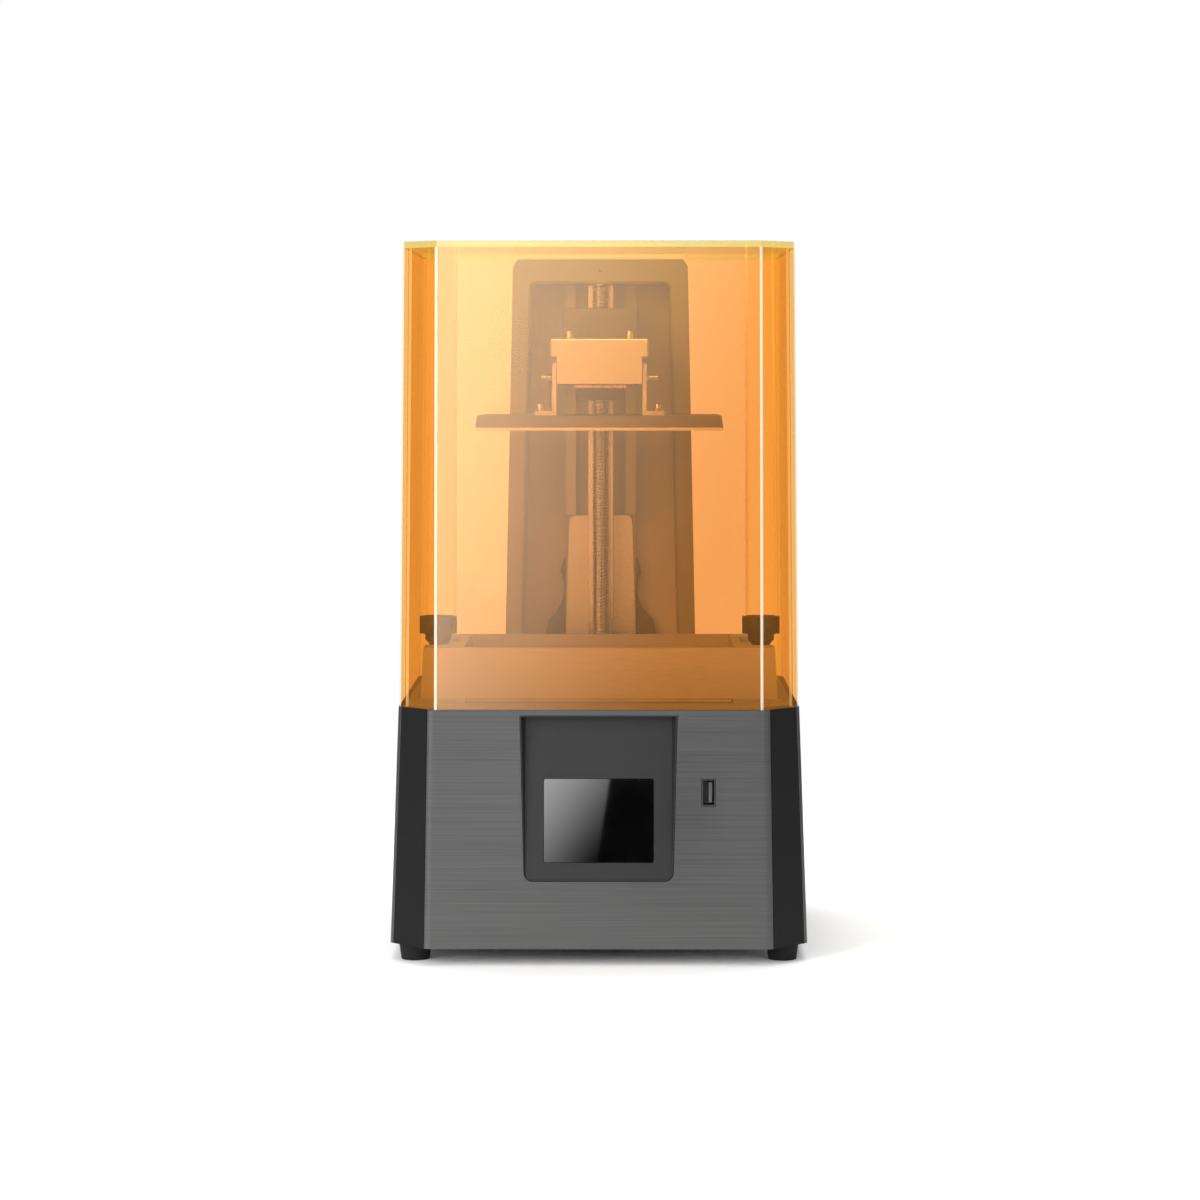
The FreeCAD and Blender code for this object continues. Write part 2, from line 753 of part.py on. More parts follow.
def make_deck():
    """Deck plate: rim under the cover's edge, raised field inside it, and the screen's seat."""
    body = new_body("deck")
    half = "base_half_top - sheet - seam"
    corner = "corner_top - (sheet + seam) * octagon_share"
    extrude(body, "z", "deck_floor", "rim_z", [octagon(half, corner)])
    field_half = "cover_half_bottom - cover_wall - deck_clear"
    field_corner = "cover_half_bottom - cover_corner_cut - (cover_wall + deck_clear) * octagon_share"
    extrude(body, "z", "rim_z", "deck_top", [octagon(field_half, field_corner)])
    window = centred("mask_half_x - mask_border", "mask_half_y - mask_border", "0", "work_y")
    boss = (("0", "screw_y"), "motor_boss_radius + seam")
    shanks = [((f"{i} * knob_x", "work_y"), "knob_shank_radius + knob_clear") for i in (-1, 1)]
    bolts = [(spot, "hole_radius") for spot in motor_corners()]
    extrude(body, "z", "deck_floor", "deck_top", [window], [boss] + shanks + bolts, cut=True)
    seat = centred("mask_half_x + seam", "mask_half_y + seam", "0", "work_y")
    extrude(body, "z", "deck_top - mask_seat_deep", "deck_top", [seat], cut=True)
    relief = box_points("-(recess_half_top + seam)", "recess_half_top + seam", "-(base_half_top)",
                        "-(base_half_top - bezel_deep - seam * 4)")
    extrude(body, "z", "deck_floor", "recess_top_z + seam", [relief], cut=True)
    keep(body, "deck_plate")
    mask = new_body("mask")
    pane = extrude(mask, "z", "deck_top - mask_seat_deep", "deck_top - mask_seat_deep + mask_thick",
                   [centred("mask_half_x", "mask_half_y", "0", "work_y")])
    chamfer(mask, "seam", pane, lambda middle, along: abs(along.z) < 0.1
            and middle.z > number_of("deck_top"))
    keep(mask, "mask_screen")


def motor_corners():
    return [(f"{i} * motor_hole_half", f"screw_y + {j} * motor_hole_half") for i in (-1, 1) for j in (-1, 1)]


def make_display():
    """Tray with a face that leans back inside the front panel, and the touch display in it."""
    tray = new_body("tray")
    nose = extrude(tray, "y", "seam", "bezel_deep", [recess_outline("seam")])
    fillet(tray, "recess_bend - seam", nose, low_corner)
    extrude(tray, "y", "sheet", "sheet + bezel_flange_thick", [flange_outline()])
    face_low = "recess_floor_z - foot_tall + recess_lip + seam"
    face_high = "recess_top_z - foot_tall - recess_lip - seam"
    mouth = "recess_lip + seam"
    sections = [
        (face_low, [(f"-(recess_half_bottom - {mouth})", "0"), (f"recess_half_bottom - ({mouth})", "0"),
                    ("face_half", "face_deep_bottom"), ("-face_half", "face_deep_bottom")]),
        (face_high, [(f"-(recess_half_top - ({mouth}))", "0"), (f"recess_half_top - ({mouth})", "0"),
                     ("face_half", "face_deep_top"), ("-face_half", "face_deep_top")]),
    ]
    loft(tray, "PartDesign::SubtractiveLoft", "z", sections)
    lean_front(tray)
    window = lean_face(face_block("display_opening", "seam", "-(glass_thick)", "bezel_deep"))
    keep(cut("tray_cut", tray, window), "screen_bezel")
    glass = face_block("glass", "0", "-(glass_proud)", "glass_thick - glass_proud")
    keep(lean_face(glass), "touch_screen")
    module = face_block("module", "-(seam)", "glass_thick - glass_proud",
                        "glass_thick - glass_proud + module_thick")
    keep(lean_face(module), "display_module")


def flange_outline():
    """The tray's flange behind the panel, kept clear of the deck above it."""
    high = "(deck_floor - foot_tall - seam * 2)"
    low = "(recess_floor_z - foot_tall - bezel_flange)"
    return [
        ("-(recess_half_bottom + bezel_flange)", low), ("recess_half_bottom + bezel_flange", low),
        ("recess_half_top + bezel_flange", high), ("-(recess_half_top + bezel_flange)", high),
    ]


def face_block(name, spare, start, end):
    """A block on the tray's face, as large as the display and this much larger all round."""
    body = new_body(name)
    low = f"(glass_floor_z - recess_floor_z - recess_lip - ({spare}))"
    high = f"(glass_floor_z - recess_floor_z - recess_lip + glass_tall + {spare})"
    wide = f"(glass_half + {spare})"
    block = extrude(body, "y", start, end, [box_points(f"-{wide}", wide, low, high)])
    fillet(body, "glass_bend", block, lambda middle, along: abs(along.y) > 0.9)
    return body


def lean_face(item):
    """Stand a sub-part on the tray's leaning face."""
    rise = "(recess_floor_z - foot_tall + recess_lip + seam)"
    span = "(recess_top_z - recess_floor_z - (recess_lip + seam) * 2)"
    lean = f"(flare + atan((face_deep_top - face_deep_bottom) / {span}))"
    y = f"-(base_half_bottom) + face_deep_bottom * cos(flare) + {rise} * sin(flare)"
    z = f"foot_tall - face_deep_bottom * sin(flare) + {rise} * cos(flare)"
    return place(item, "0", y, z, (-1, 0, 0), lean)


def make_usb():
    """Metal shell of the data socket and the plastic insert with its tongue."""
    shell = new_body("usb_shell")
    middle = ("usb_x", "usb_z - foot_tall")
    outer = centred("usb_wide / 2", "usb_tall / 2", *middle)
    inner = centred("usb_wide / 2 - usb_wall", "usb_tall / 2 - usb_wall", *middle)
    extrude(shell, "y", "0", "usb_deep", [outer, inner])
    keep(lean_front(shell), "usb_socket")
    insert = new_body("usb_insert")
    fit = "usb_wall + seam / 5"
    plug = centred(f"usb_wide / 2 - ({fit})", f"usb_tall / 2 - ({fit})", *middle)
    extrude(insert, "y", "usb_deep - usb_backstop", "usb_deep", [plug])
    tongue = centred("tongue_thick / 2", "usb_tall / 2 - usb_wall * 3", "usb_x + usb_offset", middle[1])
    extrude(insert, "y", "usb_deep - usb_backstop - tongue_deep", "usb_deep - usb_backstop", [tongue])
    keep(lean_front(insert), "usb_insert")


def make_lamp():
    """Lamp box, collimating lens, light-emitting board and the heat sink under it."""
    box = new_body("box")
    outer = centred("lamp_half_x", "lamp_half_y", "0", "work_y")
    inner = centred("lamp_half_x - lamp_wall", "lamp_half_y - lamp_wall", "0", "work_y")
    narrow = "lamp_wall + lens_ledge"
    waist = centred(f"lamp_half_x - ({narrow})", f"lamp_half_y - ({narrow})", "0", "work_y")
    extrude(box, "z", "lamp_floor", "deck_floor", [outer])
    extrude(box, "z", "lamp_floor", "lamp_floor + lens_height", [waist], cut=True)
    extrude(box, "z", "lamp_floor + lens_height", "deck_floor", [inner], cut=True)
    keep(box, "lamp_box")
    lens = new_body("lens")
    pane = centred("lamp_half_x - lamp_wall - seam", "lamp_half_y - lamp_wall - seam", "0", "work_y")
    extrude(lens, "z", "lamp_floor + lens_height", "lamp_floor + lens_height + lens_thick", [pane])
    keep(lens, "lamp_lens")
    board = new_body("led_panel")
    extrude(board, "z", "lamp_floor - led_board_thick", "lamp_floor", [outer])
    chips = []
    columns, rows = 6, 4
    for i in range(columns):
        for j in range(rows):
            x = f"(led_reach_x * {2 * i / (columns - 1) - 1})"
            y = f"(work_y + led_reach_y * {2 * j / (rows - 1) - 1})"
            chips.append(centred("led_half", "led_half", x, y))
    extrude(board, "z", "lamp_floor", "lamp_floor + led_tall", chips)
    keep(board, "led_board")
    sink = new_body("sink")
    sink_top = "lamp_floor - led_board_thick"
    extrude(sink, "z", f"{sink_top} - sink_base_thick", sink_top, [outer])
    fins = []
    reach = int(number_of("(lamp_half_x - sink_fin_thick / 2) / sink_fin_pitch"))
    for k in range(-reach, reach + 1):
        fins.append(centred("sink_fin_thick / 2", "lamp_half_y", f"(sink_fin_pitch * {k})", "work_y"))
    extrude(sink, "z", f"{sink_top} - sink_base_thick - sink_fin_tall", f"{sink_top} - sink_base_thick", fins)
    keep(sink, "heat_sink")


def board_corners():
    """Places of the four standoffs under the control board."""
    x = "(board_half_x - board_hole_inset)"
    y = "(board_half_y - board_hole_inset)"
    return [(f"{i} * {x}", f"board_y + {j} * {y}") for i in (-1, 1) for j in (-1, 1)]


def make_board():
    """Control board with its chips and plug rows."""
    body = new_body("board")
    floor = "bottom_top + standoff_tall"
    top = f"{floor} + board_thick"
    extrude(body, "z", floor, top, [centred("board_half_x", "board_half_y", "0", "board_y")])
    chips = [centred("chip_half", "chip_half", f"chip_half * {k}", "board_y") for k in (-3, 0, 3)]
    extrude(body, "z", top, f"{top} + chip_tall", chips)
    edge = "board_y + board_half_y - chip_half"
    rows = [centred("chip_half * 2", "chip_half / 2", f"chip_half * {k}", edge) for k in (-3, 3)]
    extrude(body, "z", top, f"{top} + plug_tall", rows)
    keep(body, "control_board")


def make_lift_motor():
    """Stepper motor under the deck, its four screws, and the lead screw that it turns."""
    body = new_body("motor")
    case = extrude(body, "z", "deck_floor - motor_tall", "deck_floor",
                   [centred("motor_half", "motor_half", "0", "screw_y")])
    chamfer(body, "motor_corner", case, rising)
    centre = ("0", "screw_y")
    extrude(body, "z", "deck_floor", "deck_floor + motor_boss_tall", circles=[(centre, "motor_boss_radius")])
    bore_floor = "deck_floor + motor_boss_tall - journal_deep"
    extrude(body, "z", bore_floor, "deck_floor + motor_boss_tall",
            circles=[(centre, "journal_radius + running_gap")], cut=True)
    threads = [(spot, "hole_radius") for spot in motor_corners()]
    extrude(body, "z", "deck_floor - screw_head_tall * 2", "deck_floor", circles=threads, cut=True)
    keep(body, "lift_motor")
    group("motor_screws", [
        screw(f"motor_screw_{k}", x, y, "deck_top", "screw_head_radius", "screw_head_tall",
              "screw_radius", "deck_thick + deck_raise + screw_head_tall")
        for k, (x, y) in enumerate(motor_corners())
    ])
    lead = new_body("lead")
    top_end = "channel_top + bearing_tall + seam * 2"
    revolve(lead, [
        ("0", f"{bore_floor} + seam"), ("journal_radius", f"{bore_floor} + seam"),
        ("journal_radius", "deck_top"), ("lead_radius", "deck_top"), ("lead_radius", "channel_top - seam"),
        ("journal_radius", "channel_top - seam"), ("journal_radius", top_end), ("0", top_end),
    ])
    keep(place(lead, "0", "screw_y"), "lead_screw")


def make_tower():
    """Tower housing with the open channel that the carriage runs in, and the screw's top bearing."""
    body = new_body("tower")
    outline = [
        ("-(tower_half_bottom)", "deck_top"), ("tower_half_bottom", "deck_top"),
        ("tower_half_top", "tower_top - tower_crop_z"), ("tower_half_top - tower_crop_x", "tower_top"),
        ("-(tower_half_top - tower_crop_x)", "tower_top"), ("-(tower_half_top)", "tower_top - tower_crop_z"),
    ]
    extrude(body, "y", "tower_front_y", "tower_back_y", [outline])
    channel = [
        ("-(channel_half_bottom)", "deck_top"), ("channel_half_bottom", "deck_top"),
        ("channel_half_top", "channel_top"), ("-(channel_half_top)", "channel_top"),
    ]
    extrude(body, "y", "tower_front_y", "web_back_y", [channel], cut=True)
    seat = [(("0", "screw_y"), "bearing_radius + running_gap")]
    extrude(body, "z", "channel_top", "channel_top + bearing_tall + seam * 3", circles=seat, cut=True)
    doc.recompute()
    inner_top = number_of("channel_top - channel_bend")
    bent = fillet(body, "channel_bend", body.Tip, lambda middle, along: abs(along.y) > 0.9
                  and abs(middle.z - number_of("channel_top")) < 0.1
                  and abs(abs(middle.x) - number_of("channel_half_top")) < 0.1)
    chamfer(body, "channel_bevel", bent, lambda middle, along: abs(along.z) > 0.9
            and abs(middle.y - number_of("tower_front_y")) < 0.1 and middle.z < inner_top
            and abs(middle.x) < number_of("channel_half_bottom"))
    keep(body, "tower_housing")
    bearing = new_body("bearing")
    revolve(bearing, [
        ("journal_radius + running_gap", "0"), ("bearing_radius", "0"),
        ("bearing_radius", "bearing_tall"), ("journal_radius + running_gap", "bearing_tall"),
    ])
    keep(place(bearing, "0", "screw_y", "channel_top"), "top_bearing")


def make_column():
    """Column in the tower's channel, the linear rail on it, and the bracket and gussets at its foot."""
    body = new_body("column")
    top = "channel_top - seam"
    web = box_points("-(column_half)", "column_half", "web_front_y", "web_back_y")
    extrude(body, "z", "deck_top", top, [web])
    lip = ("web_front_y - flange_deep", "web_front_y")
    flanges = [
        box_points("-(column_half)", "-(column_half - flange_wide)", *lip),
        box_points("column_half - flange_wide", "column_half", *lip),
    ]
    extrude(body, "z", "deck_top + bracket_tall + seam * 4", top, flanges)
    keep(body, "z_column")
    rail = new_body("rail")
    groove = "rail_front_y + rail_deep / 2"
    outline = [
        ("-(rail_half)", "rail_front_y"), ("rail_half", "rail_front_y"),
        ("rail_half", f"{groove} - rail_groove"), ("rail_half - rail_groove", groove),
        ("rail_half", f"{groove} + rail_groove"), ("rail_half", "web_front_y"),
        ("-(rail_half)", "web_front_y"), ("-(rail_half)", f"{groove} + rail_groove"),
        ("-(rail_half - rail_groove)", groove), ("-(rail_half)", f"{groove} - rail_groove"),
    ]
    extrude(rail, "z", "deck_top + bracket_thick + seam", top, [outline])
    keep(rail, "linear_rail")
    make_foot_bracket()
    group("column_gussets", [make_gusset("left_gusset", -1), make_gusset("right_gusset", 1)])


def make_foot_bracket():
    """Bright angle bracket that ties the column to the deck, split for the rail."""
    body = new_body("angle")
    outline = [
        ("-(bracket_half_bottom)", "deck_top"), ("bracket_half_bottom", "deck_top"),
        ("bracket_half_top", "deck_top + bracket_tall"), ("-(bracket_half_top)", "deck_top + bracket_tall"),
    ]
    leg = extrude(body, "y", "bracket_front_y", "web_front_y", [outline])
    fillet(body, "bracket_bend", leg, lambda middle, along: abs(along.y) > 0.9
           and middle.z > number_of("deck_top + bracket_tall / 2"))
    slot = box_points("-(rail_half + seam)", "rail_half + seam", "deck_top + bracket_thick",
                      "deck_top + bracket_tall")
    extrude(body, "y", "bracket_front_y", "web_front_y", [slot], cut=True)
    foot = box_points("-(bracket_half_bottom)", "bracket_half_bottom", "bracket_toe_y", "bracket_front_y")
    extrude(body, "z", "deck_top", "deck_top + bracket_thick", [foot])
    keep(body, "foot_bracket")


def make_gusset(name, side):
    """Side brace of the column, hollowed by a round sweep."""
    body = new_body(name)
    inner = "column_half + seam"
    low = "deck_top + gusset_shoulder"
    high = "deck_top + gusset_tall"
    outline = [
        (f"{side} * ({inner})", "deck_top"), (f"{side} * gusset_half", "deck_top"),
        (f"{side} * gusset_half", low), (f"{side} * ({inner} + gusset_tip)", high),
        (f"{side} * ({inner})", high),
    ]
    extrude(body, "y", "web_front_y", "web_back_y", [outline])
    sweep = ((f"{side} * (column_half + gusset_radius)", "deck_top + gusset_shoulder + gusset_radius"),
             "gusset_radius - gusset_tip")
    extrude(body, "y", "web_front_y", "web_back_y", circles=[sweep], cut=True)
    return body


def make_end_switch():
    """Forked light switch on the deck that sees the carriage's flag at the bottom of the travel."""
    body = new_body("fork")
    outline = box_points("switch_x - switch_half", "switch_x + switch_half", "deck_top",
                         "deck_top + switch_tall")
    front = "carriage_back_y - switch_deep"
    extrude(body, "y", front, "carriage_back_y", [outline])
    slot = box_points("switch_x - switch_slot_half", "switch_x + switch_slot_half",
                      "deck_top + switch_tall - switch_slot_deep", "deck_top + switch_tall")
    extrude(body, "y", front, "carriage_back_y", [slot], cut=True)
    keep(body, "end_switch")


def make_carriage():
    """Carriage block with its shelf and flag, the rail slider, and the two nuts on the lead screw."""
    body = new_body("carriage")
    face = box_points("-(carriage_half)", "carriage_half", "carriage_front_y", "carriage_back_y")
    block = extrude(body, "z", "carriage_floor_z", "carriage_top", [face])
    chamfer(body, "arm_bevel", block, lambda middle, along: middle.y < number_of("carriage_front_y") + 0.1)
    shelf = box_points("-(carriage_half)", "carriage_half", "carriage_front_y - shelf_deep",
                       "carriage_front_y + arm_bevel")
    extrude(body, "z", "arm_floor_z - shelf_thick", "arm_floor_z", [shelf])
    bolts = [((f"{i} * arm_screw_x", "arm_screw_y"), "hole_radius") for i in (-1, 1)]
    extrude(body, "z", "arm_floor_z - shelf_thick", "arm_floor_z", circles=bolts, cut=True)
    flag_side = "switch_x + flag_thick / 2"
    flag_ends = ("carriage_back_y - flag_wide - flag_inset", "carriage_back_y - flag_inset")
    tab = box_points(flag_side, "-(carriage_half) + arm_bevel", *flag_ends)
    extrude(body, "z", "carriage_floor_z", "carriage_floor_z + flag_reach", [tab])
    blade = box_points("switch_x - flag_thick / 2", flag_side, *flag_ends)
    flag_floor = "carriage_floor_z - flag_reach - backlash_tall"
    extrude(body, "z", flag_floor, "carriage_floor_z + flag_reach", [blade])
    centre = ("0", "screw_y")
    extrude(body, "z", "carriage_floor_z", "carriage_top",
            circles=[(centre, "lead_radius + slider_clear")], cut=True)
    extrude(body, "z", "carriage_floor_z", "carriage_floor_z + nut_long + seam",
            circles=[(centre, "nut_radius + nut_clear")], cut=True)
    keep(body, "carriage_block")
    slider = new_body("slider")
    low = "carriage_floor_z + (carriage_tall - slider_tall) / 2"
    mouth = "rail_half + slider_clear"
    throat = "rail_front_y - slider_clear"
    back = "web_front_y - bracket_thick - slider_clear * 2"
    outline = [
        ("-(slider_half)", "carriage_back_y"), ("slider_half", "carriage_back_y"), ("slider_half", back),
        (mouth, back), (mouth, throat), (f"-({mouth})", throat), (f"-({mouth})", back),
        ("-(slider_half)", back),
    ]
    extrude(slider, "z", low, f"{low} + slider_tall", [outline])
    keep(slider, "rail_slider")
    nut = new_body("nut")
    flange_floor = "carriage_floor_z - nut_flange_thick"
    plate = centred("nut_flange_half", "nut_radius + nut_flange_rim", "0", "screw_y")
    extrude(nut, "z", flange_floor, "carriage_floor_z", [plate])
    extrude(nut, "z", "carriage_floor_z", "carriage_floor_z + nut_long", circles=[(centre, "nut_radius")])
    bore = [(centre, "lead_radius + nut_clear")]
    extrude(nut, "z", flange_floor, "carriage_floor_z + nut_long", circles=bore, cut=True)
    keep(nut, "lead_nut")
    spare = new_body("spare_nut")
    low = f"{flange_floor} - backlash_tall"
    block = centred("backlash_half", "nut_radius + nut_flange_rim", "0", "screw_y")
    extrude(spare, "z", low, flange_floor, [block])
    extrude(spare, "z", low, flange_floor, circles=bore, cut=True)
    keep(spare, "backlash_nut")


def pin_rows():
    """Places along Y of the levelling pins."""
    return [f"(work_y + {j} * pin_pitch / 2)" for j in (-1, 1)]


def make_arm():
    """Bright arm with its block, the two screws that hold it, and the levelling pins."""
    body = new_body("arm")
    beam = box_points("-(arm_half)", "arm_half", "arm_front_y", "carriage_front_y")
    step = extrude(body, "z", "arm_floor_z", "arm_floor_z + arm_tall", [beam])
    chamfer(body, "arm_bevel", step, lambda middle, along: middle.y < number_of("arm_front_y") + 0.1
            or abs(middle.x) > number_of("arm_half") - 0.1)
    block = box_points("-(block_half)", "block_half", "arm_front_y", "arm_front_y + block_deep")
    extrude(body, "z", "arm_floor_z - block_tall", "arm_floor_z + arm_bevel", [block])
    bolts = [((f"{i} * arm_screw_x", "arm_screw_y"), "hole_radius") for i in (-1, 1)]
    extrude(body, "z", "arm_floor_z", "arm_floor_z + arm_tall", circles=bolts, cut=True)
    pins = [((y, "pin_z"), "pin_radius + seam / 5") for y in pin_rows()]
    extrude(body, "x", "-(block_half)", "-(block_half - pin_bury - seam)", circles=pins, cut=True)
    extrude(body, "x", "block_half - pin_bury - seam", "block_half", circles=pins, cut=True)
    keep(body, "arm_block")
    group("arm_screws", [
        screw(f"arm_screw_{k}", f"{side} * arm_screw_x", "arm_screw_y", "arm_floor_z + arm_tall",
              "arm_head_radius", "arm_head_tall", "screw_radius", "arm_tall + shelf_thick")
        for k, side in enumerate((-1, 1))
    ])
    pieces = []
    for side in (-1, 1):
        for y in pin_rows():
            pin = new_body("level_pin")
            ends = ["block_half - pin_bury", "block_half + pin_reach"]
            if side < 0:
                ends = [f"-({ends[1]})", f"-({ends[0]})"]
            extrude(pin, "x", *ends, circles=[((y, "pin_z"), "pin_radius")])
            pieces.append(pin)
    group("level_pins", pieces)


def make_platform():
    """Two slotted angle brackets, the build plate with its ground face, and their screws."""
    for label, side in (("left_bracket", -1), ("right_bracket", 1)):
        make_bracket(label, side)
    plate = new_body("plate")
    low = "plate_floor_z + plate_face_thick"
    taper = "-(atan(plate_draft / plate_thick))"
    outline = centred("plate_half_x", "plate_half_y", "0", "work_y")
    extrude(plate, "z", low, "plate_top", [outline], taper=taper)
    holes = [(spot, "hole_radius") for spot in plate_screw_places()]
    extrude(plate, "z", low, "plate_top", circles=holes, cut=True)
    keep(plate, "build_plate")
    face = new_body("plate_sheet")
    extrude(face, "z", "plate_floor_z", low, [outline])
    keep(face, "plate_face")
    group("plate_screws", [
        screw(f"plate_screw_{k}", x, y, "plate_top + ear_thick", "plate_head_radius", "plate_head_tall",
              "screw_radius", "ear_thick + plate_thick - seam")
        for k, (x, y) in enumerate(plate_screw_places())
    ])


def plate_screw_places():
    return [(f"{side} * plate_screw_x", y) for side in (-1, 1) for y in pin_rows()]


def make_bracket(label, side):
    """Angle bracket: its slots let the plate rise by the levelling travel."""
    body = new_body(label + "_angle")
    inner = f"{side} * (block_half + ear_gap)"
    outer = f"{side} * (block_half + ear_gap + ear_thick)"
    toe = f"{side} * (block_half + ear_gap + ear_reach)"
    outline = [
        (inner, "plate_top"), (toe, "plate_top"), (toe, "plate_top + ear_thick"),
        (outer, "plate_top + ear_thick"), (outer, "plate_top + ear_tall"), (inner, "plate_top + ear_tall"),
    ]
    extrude(body, "y", "work_y - ear_deep / 2", "work_y + ear_deep / 2", [outline])
    ends = [inner, outer] if side > 0 else [outer, inner]
    reach = "pin_radius + slot_clear"
    slots = [box_points(f"{y} - ({reach})", f"{y} + {reach}", f"pin_z - level_travel - ({reach})",
                        f"pin_z + {reach}") for y in pin_rows()]
    extrude(body, "x", *ends, slots, cut=True)
    holes = [((f"{side} * plate_screw_x", y), "hole_radius") for y in pin_rows()]
    extrude(body, "z", "plate_top", "plate_top + ear_thick", circles=holes, cut=True)
    keep(body, label)


def make_vat():
    """Vat with lowered ears for the knobs, its release film, the film frame and the rails below."""
    body = new_body("tank")
    outline = [
        ("-(vat_half_bottom)", "vat_floor"), ("vat_half_bottom", "vat_floor"),
        ("vat_half_top", "vat_top"), ("-(vat_half_top)", "vat_top"),
    ]
    extrude(body, "y", "vat_front_y", "vat_back_y", [outline])
    near = "vat_front_y + vat_wall"
    far = "vat_back_y - vat_wall"
    well = [
        ("vat_floor", box_points("-(well_half_bottom)", "well_half_bottom", near, far)),
        ("vat_top", box_points("-(well_half_top)", "well_half_top", near, far)),
    ]
    loft(body, "PartDesign::SubtractiveLoft", "z", well)
    low = "work_y - ear_length / 2"
    high = "work_y + ear_length / 2"
    ears = [
        box_points("-(vat_half_bottom)", "-(well_half_top + vat_wall)", low, high),
        box_points("well_half_top + vat_wall", "vat_half_bottom", low, high),
    ]
    extrude(body, "z", "vat_top - ear_drop", "vat_top", ears, cut=True)
    holes = [((f"{i} * knob_x", "work_y"), "knob_shank_radius + knob_clear") for i in (-1, 1)]
    extrude(body, "z", "vat_floor", "vat_top - ear_drop", circles=holes, cut=True)
    keep(body, "vat_tank")
    film = new_body("film")
    half_y = "film_frame_half_y"
    extrude(film, "z", "film_floor", "vat_floor", [centred("film_frame_half_x", half_y, "0", "work_y")])
    keep(film, "release_film")
    frame = new_body("frame")
    inner = centred("film_frame_half_x - film_frame_wide", f"{half_y} - film_frame_wide", "0", "work_y")
    ring = [centred("film_frame_half_x", half_y, "0", "work_y"), inner]
    extrude(frame, "z", "film_floor - film_frame_thick", "film_floor", ring)
    keep(frame, "film_frame")
    rails = []
    for side in (-1, 1):
        rail = new_body("vat_rail")
        edges = ["rail_pad_inner", "rail_pad_outer"]
        if side < 0:
            edges = [f"-({edges[1]})", f"-({edges[0]})"]
        strip = box_points(*edges, "vat_front_y - rail_pad_over", "vat_back_y + rail_pad_over")
        extrude(rail, "z", "deck_top", "vat_floor", [strip])
        hole = ((f"{side} * knob_x", "work_y"), "knob_shank_radius + knob_clear")
        extrude(rail, "z", "deck_top", "vat_floor", circles=[hole], cut=True)
        rails.append(rail)
    group("vat_rails", rails)


def make_knob(label, side):
    """Domed clamping knob: conical nose on the vat's ear, shank through the rail and the deck."""
    body = new_body(label + "_turned")
    seat = "vat_top - ear_drop"
    collar = "vat_top + seam"
    head = f"{collar} + knob_collar_tall"
    top = f"{head} + knob_head_tall"
    turned = revolve(body, [
        ("0", "deck_floor + knob_shank_end"), ("knob_shank_radius", "deck_floor + knob_shank_end"),
        ("knob_shank_radius", seat), ("knob_nose_radius", seat), ("knob_collar_radius", collar),
        ("knob_collar_radius", head), ("knob_radius", head), ("knob_radius", f"{top} - knob_dome"),
        ("knob_radius - knob_dome", top), ("0", top),
    ])
    fillet(body, "knob_edge_bend", turned, lambda middle, along: middle.z > number_of(head) + 0.1
           and abs(along.z) < 0.1)
    keep(place(body, f"{side} * knob_x", "work_y"), label)


def make_cover():
    """Amber cover: drafted octagonal walls and the sheet that closes them."""
    corner = "cover_half_bottom - cover_corner_cut"
    outer = new_body("cover_outer")
    wall = extrude(outer, "z", "rim_z", "rim_z + cover_tall", [octagon("cover_half_bottom", corner)],
                   taper="-(draft)")
    fillet(outer, "cover_bend", wall, rising)
    inner = new_body("cover_inner")
    hollow = octagon("cover_half_bottom - cover_wall", f"{corner} - cover_wall * octagon_share")
    extrude(inner, "z", "rim_z", "rim_z + cover_tall", [hollow], taper="-(draft)")
    keep(cut("cover_shell", outer, inner), "cover_walls")
    lid = new_body("lid")
    shrink = "cover_lean + lid_inset"
    sheet_points = octagon("cover_half_top - lid_inset", f"{corner} - ({shrink}) * octagon_share")
    pane = extrude(lid, "z", "rim_z + cover_tall", "rim_z + cover_tall + lid_thick", [sheet_points])
    fillet(lid, "cover_bend", pane, rising)
    keep(lid, "cover_top")


def make_fan():
    """Cooling fan behind the rear grille: frame with its spider, rotor and screws."""
    middle = ("fan_x", "fan_z - foot_tall")
    front = "-(sheet) - fan_deep"
    frame = new_body("fan_case")
    square = extrude(frame, "y", front, "-(sheet)", [centred("fan_half", "fan_half", *middle)])
    fillet(frame, "screw_head_radius", square, lambda spot, along: abs(along.y) > 0.9)
    extrude(frame, "y", front, "-(sheet)", circles=[(middle, "fan_throat")], cut=True)
    back = f"{front} + fan_spider_thick"
    arms = [
        centred("fan_throat + fan_spider_bury", "fan_spider_wide / 2", *middle),
        centred("fan_spider_wide / 2", "fan_throat + fan_spider_bury", *middle),
    ]
    for arm in arms:
        extrude(frame, "y", front, back, [arm])
    extrude(frame, "y", front, back, circles=[(middle, "fan_hub_radius")])
    post_end = "-(sheet) - fan_blade_gap * 3"
    extrude(frame, "y", back, post_end, circles=[(middle, "fan_post_radius")])
    holes = [(spot, "hole_radius") for spot in fan_corners()]
    extrude(frame, "y", front, "-(sheet)", circles=holes, cut=True)
    keep(lean_back(frame), "fan_frame")
    keep(make_rotor(back, post_end), "fan_rotor")
    screws = []
    for x, z in fan_corners():
        bolt = new_body("fan_screw")
        extrude(bolt, "y", f"{front} + fan_deep / 2", "0", circles=[((x, z), "screw_radius")])
        extrude(bolt, "y", "0", "screw_head_tall / 2", circles=[((x, z), "screw_head_radius")])
        screws.append(lean_back(bolt))
    group("fan_screws", screws)


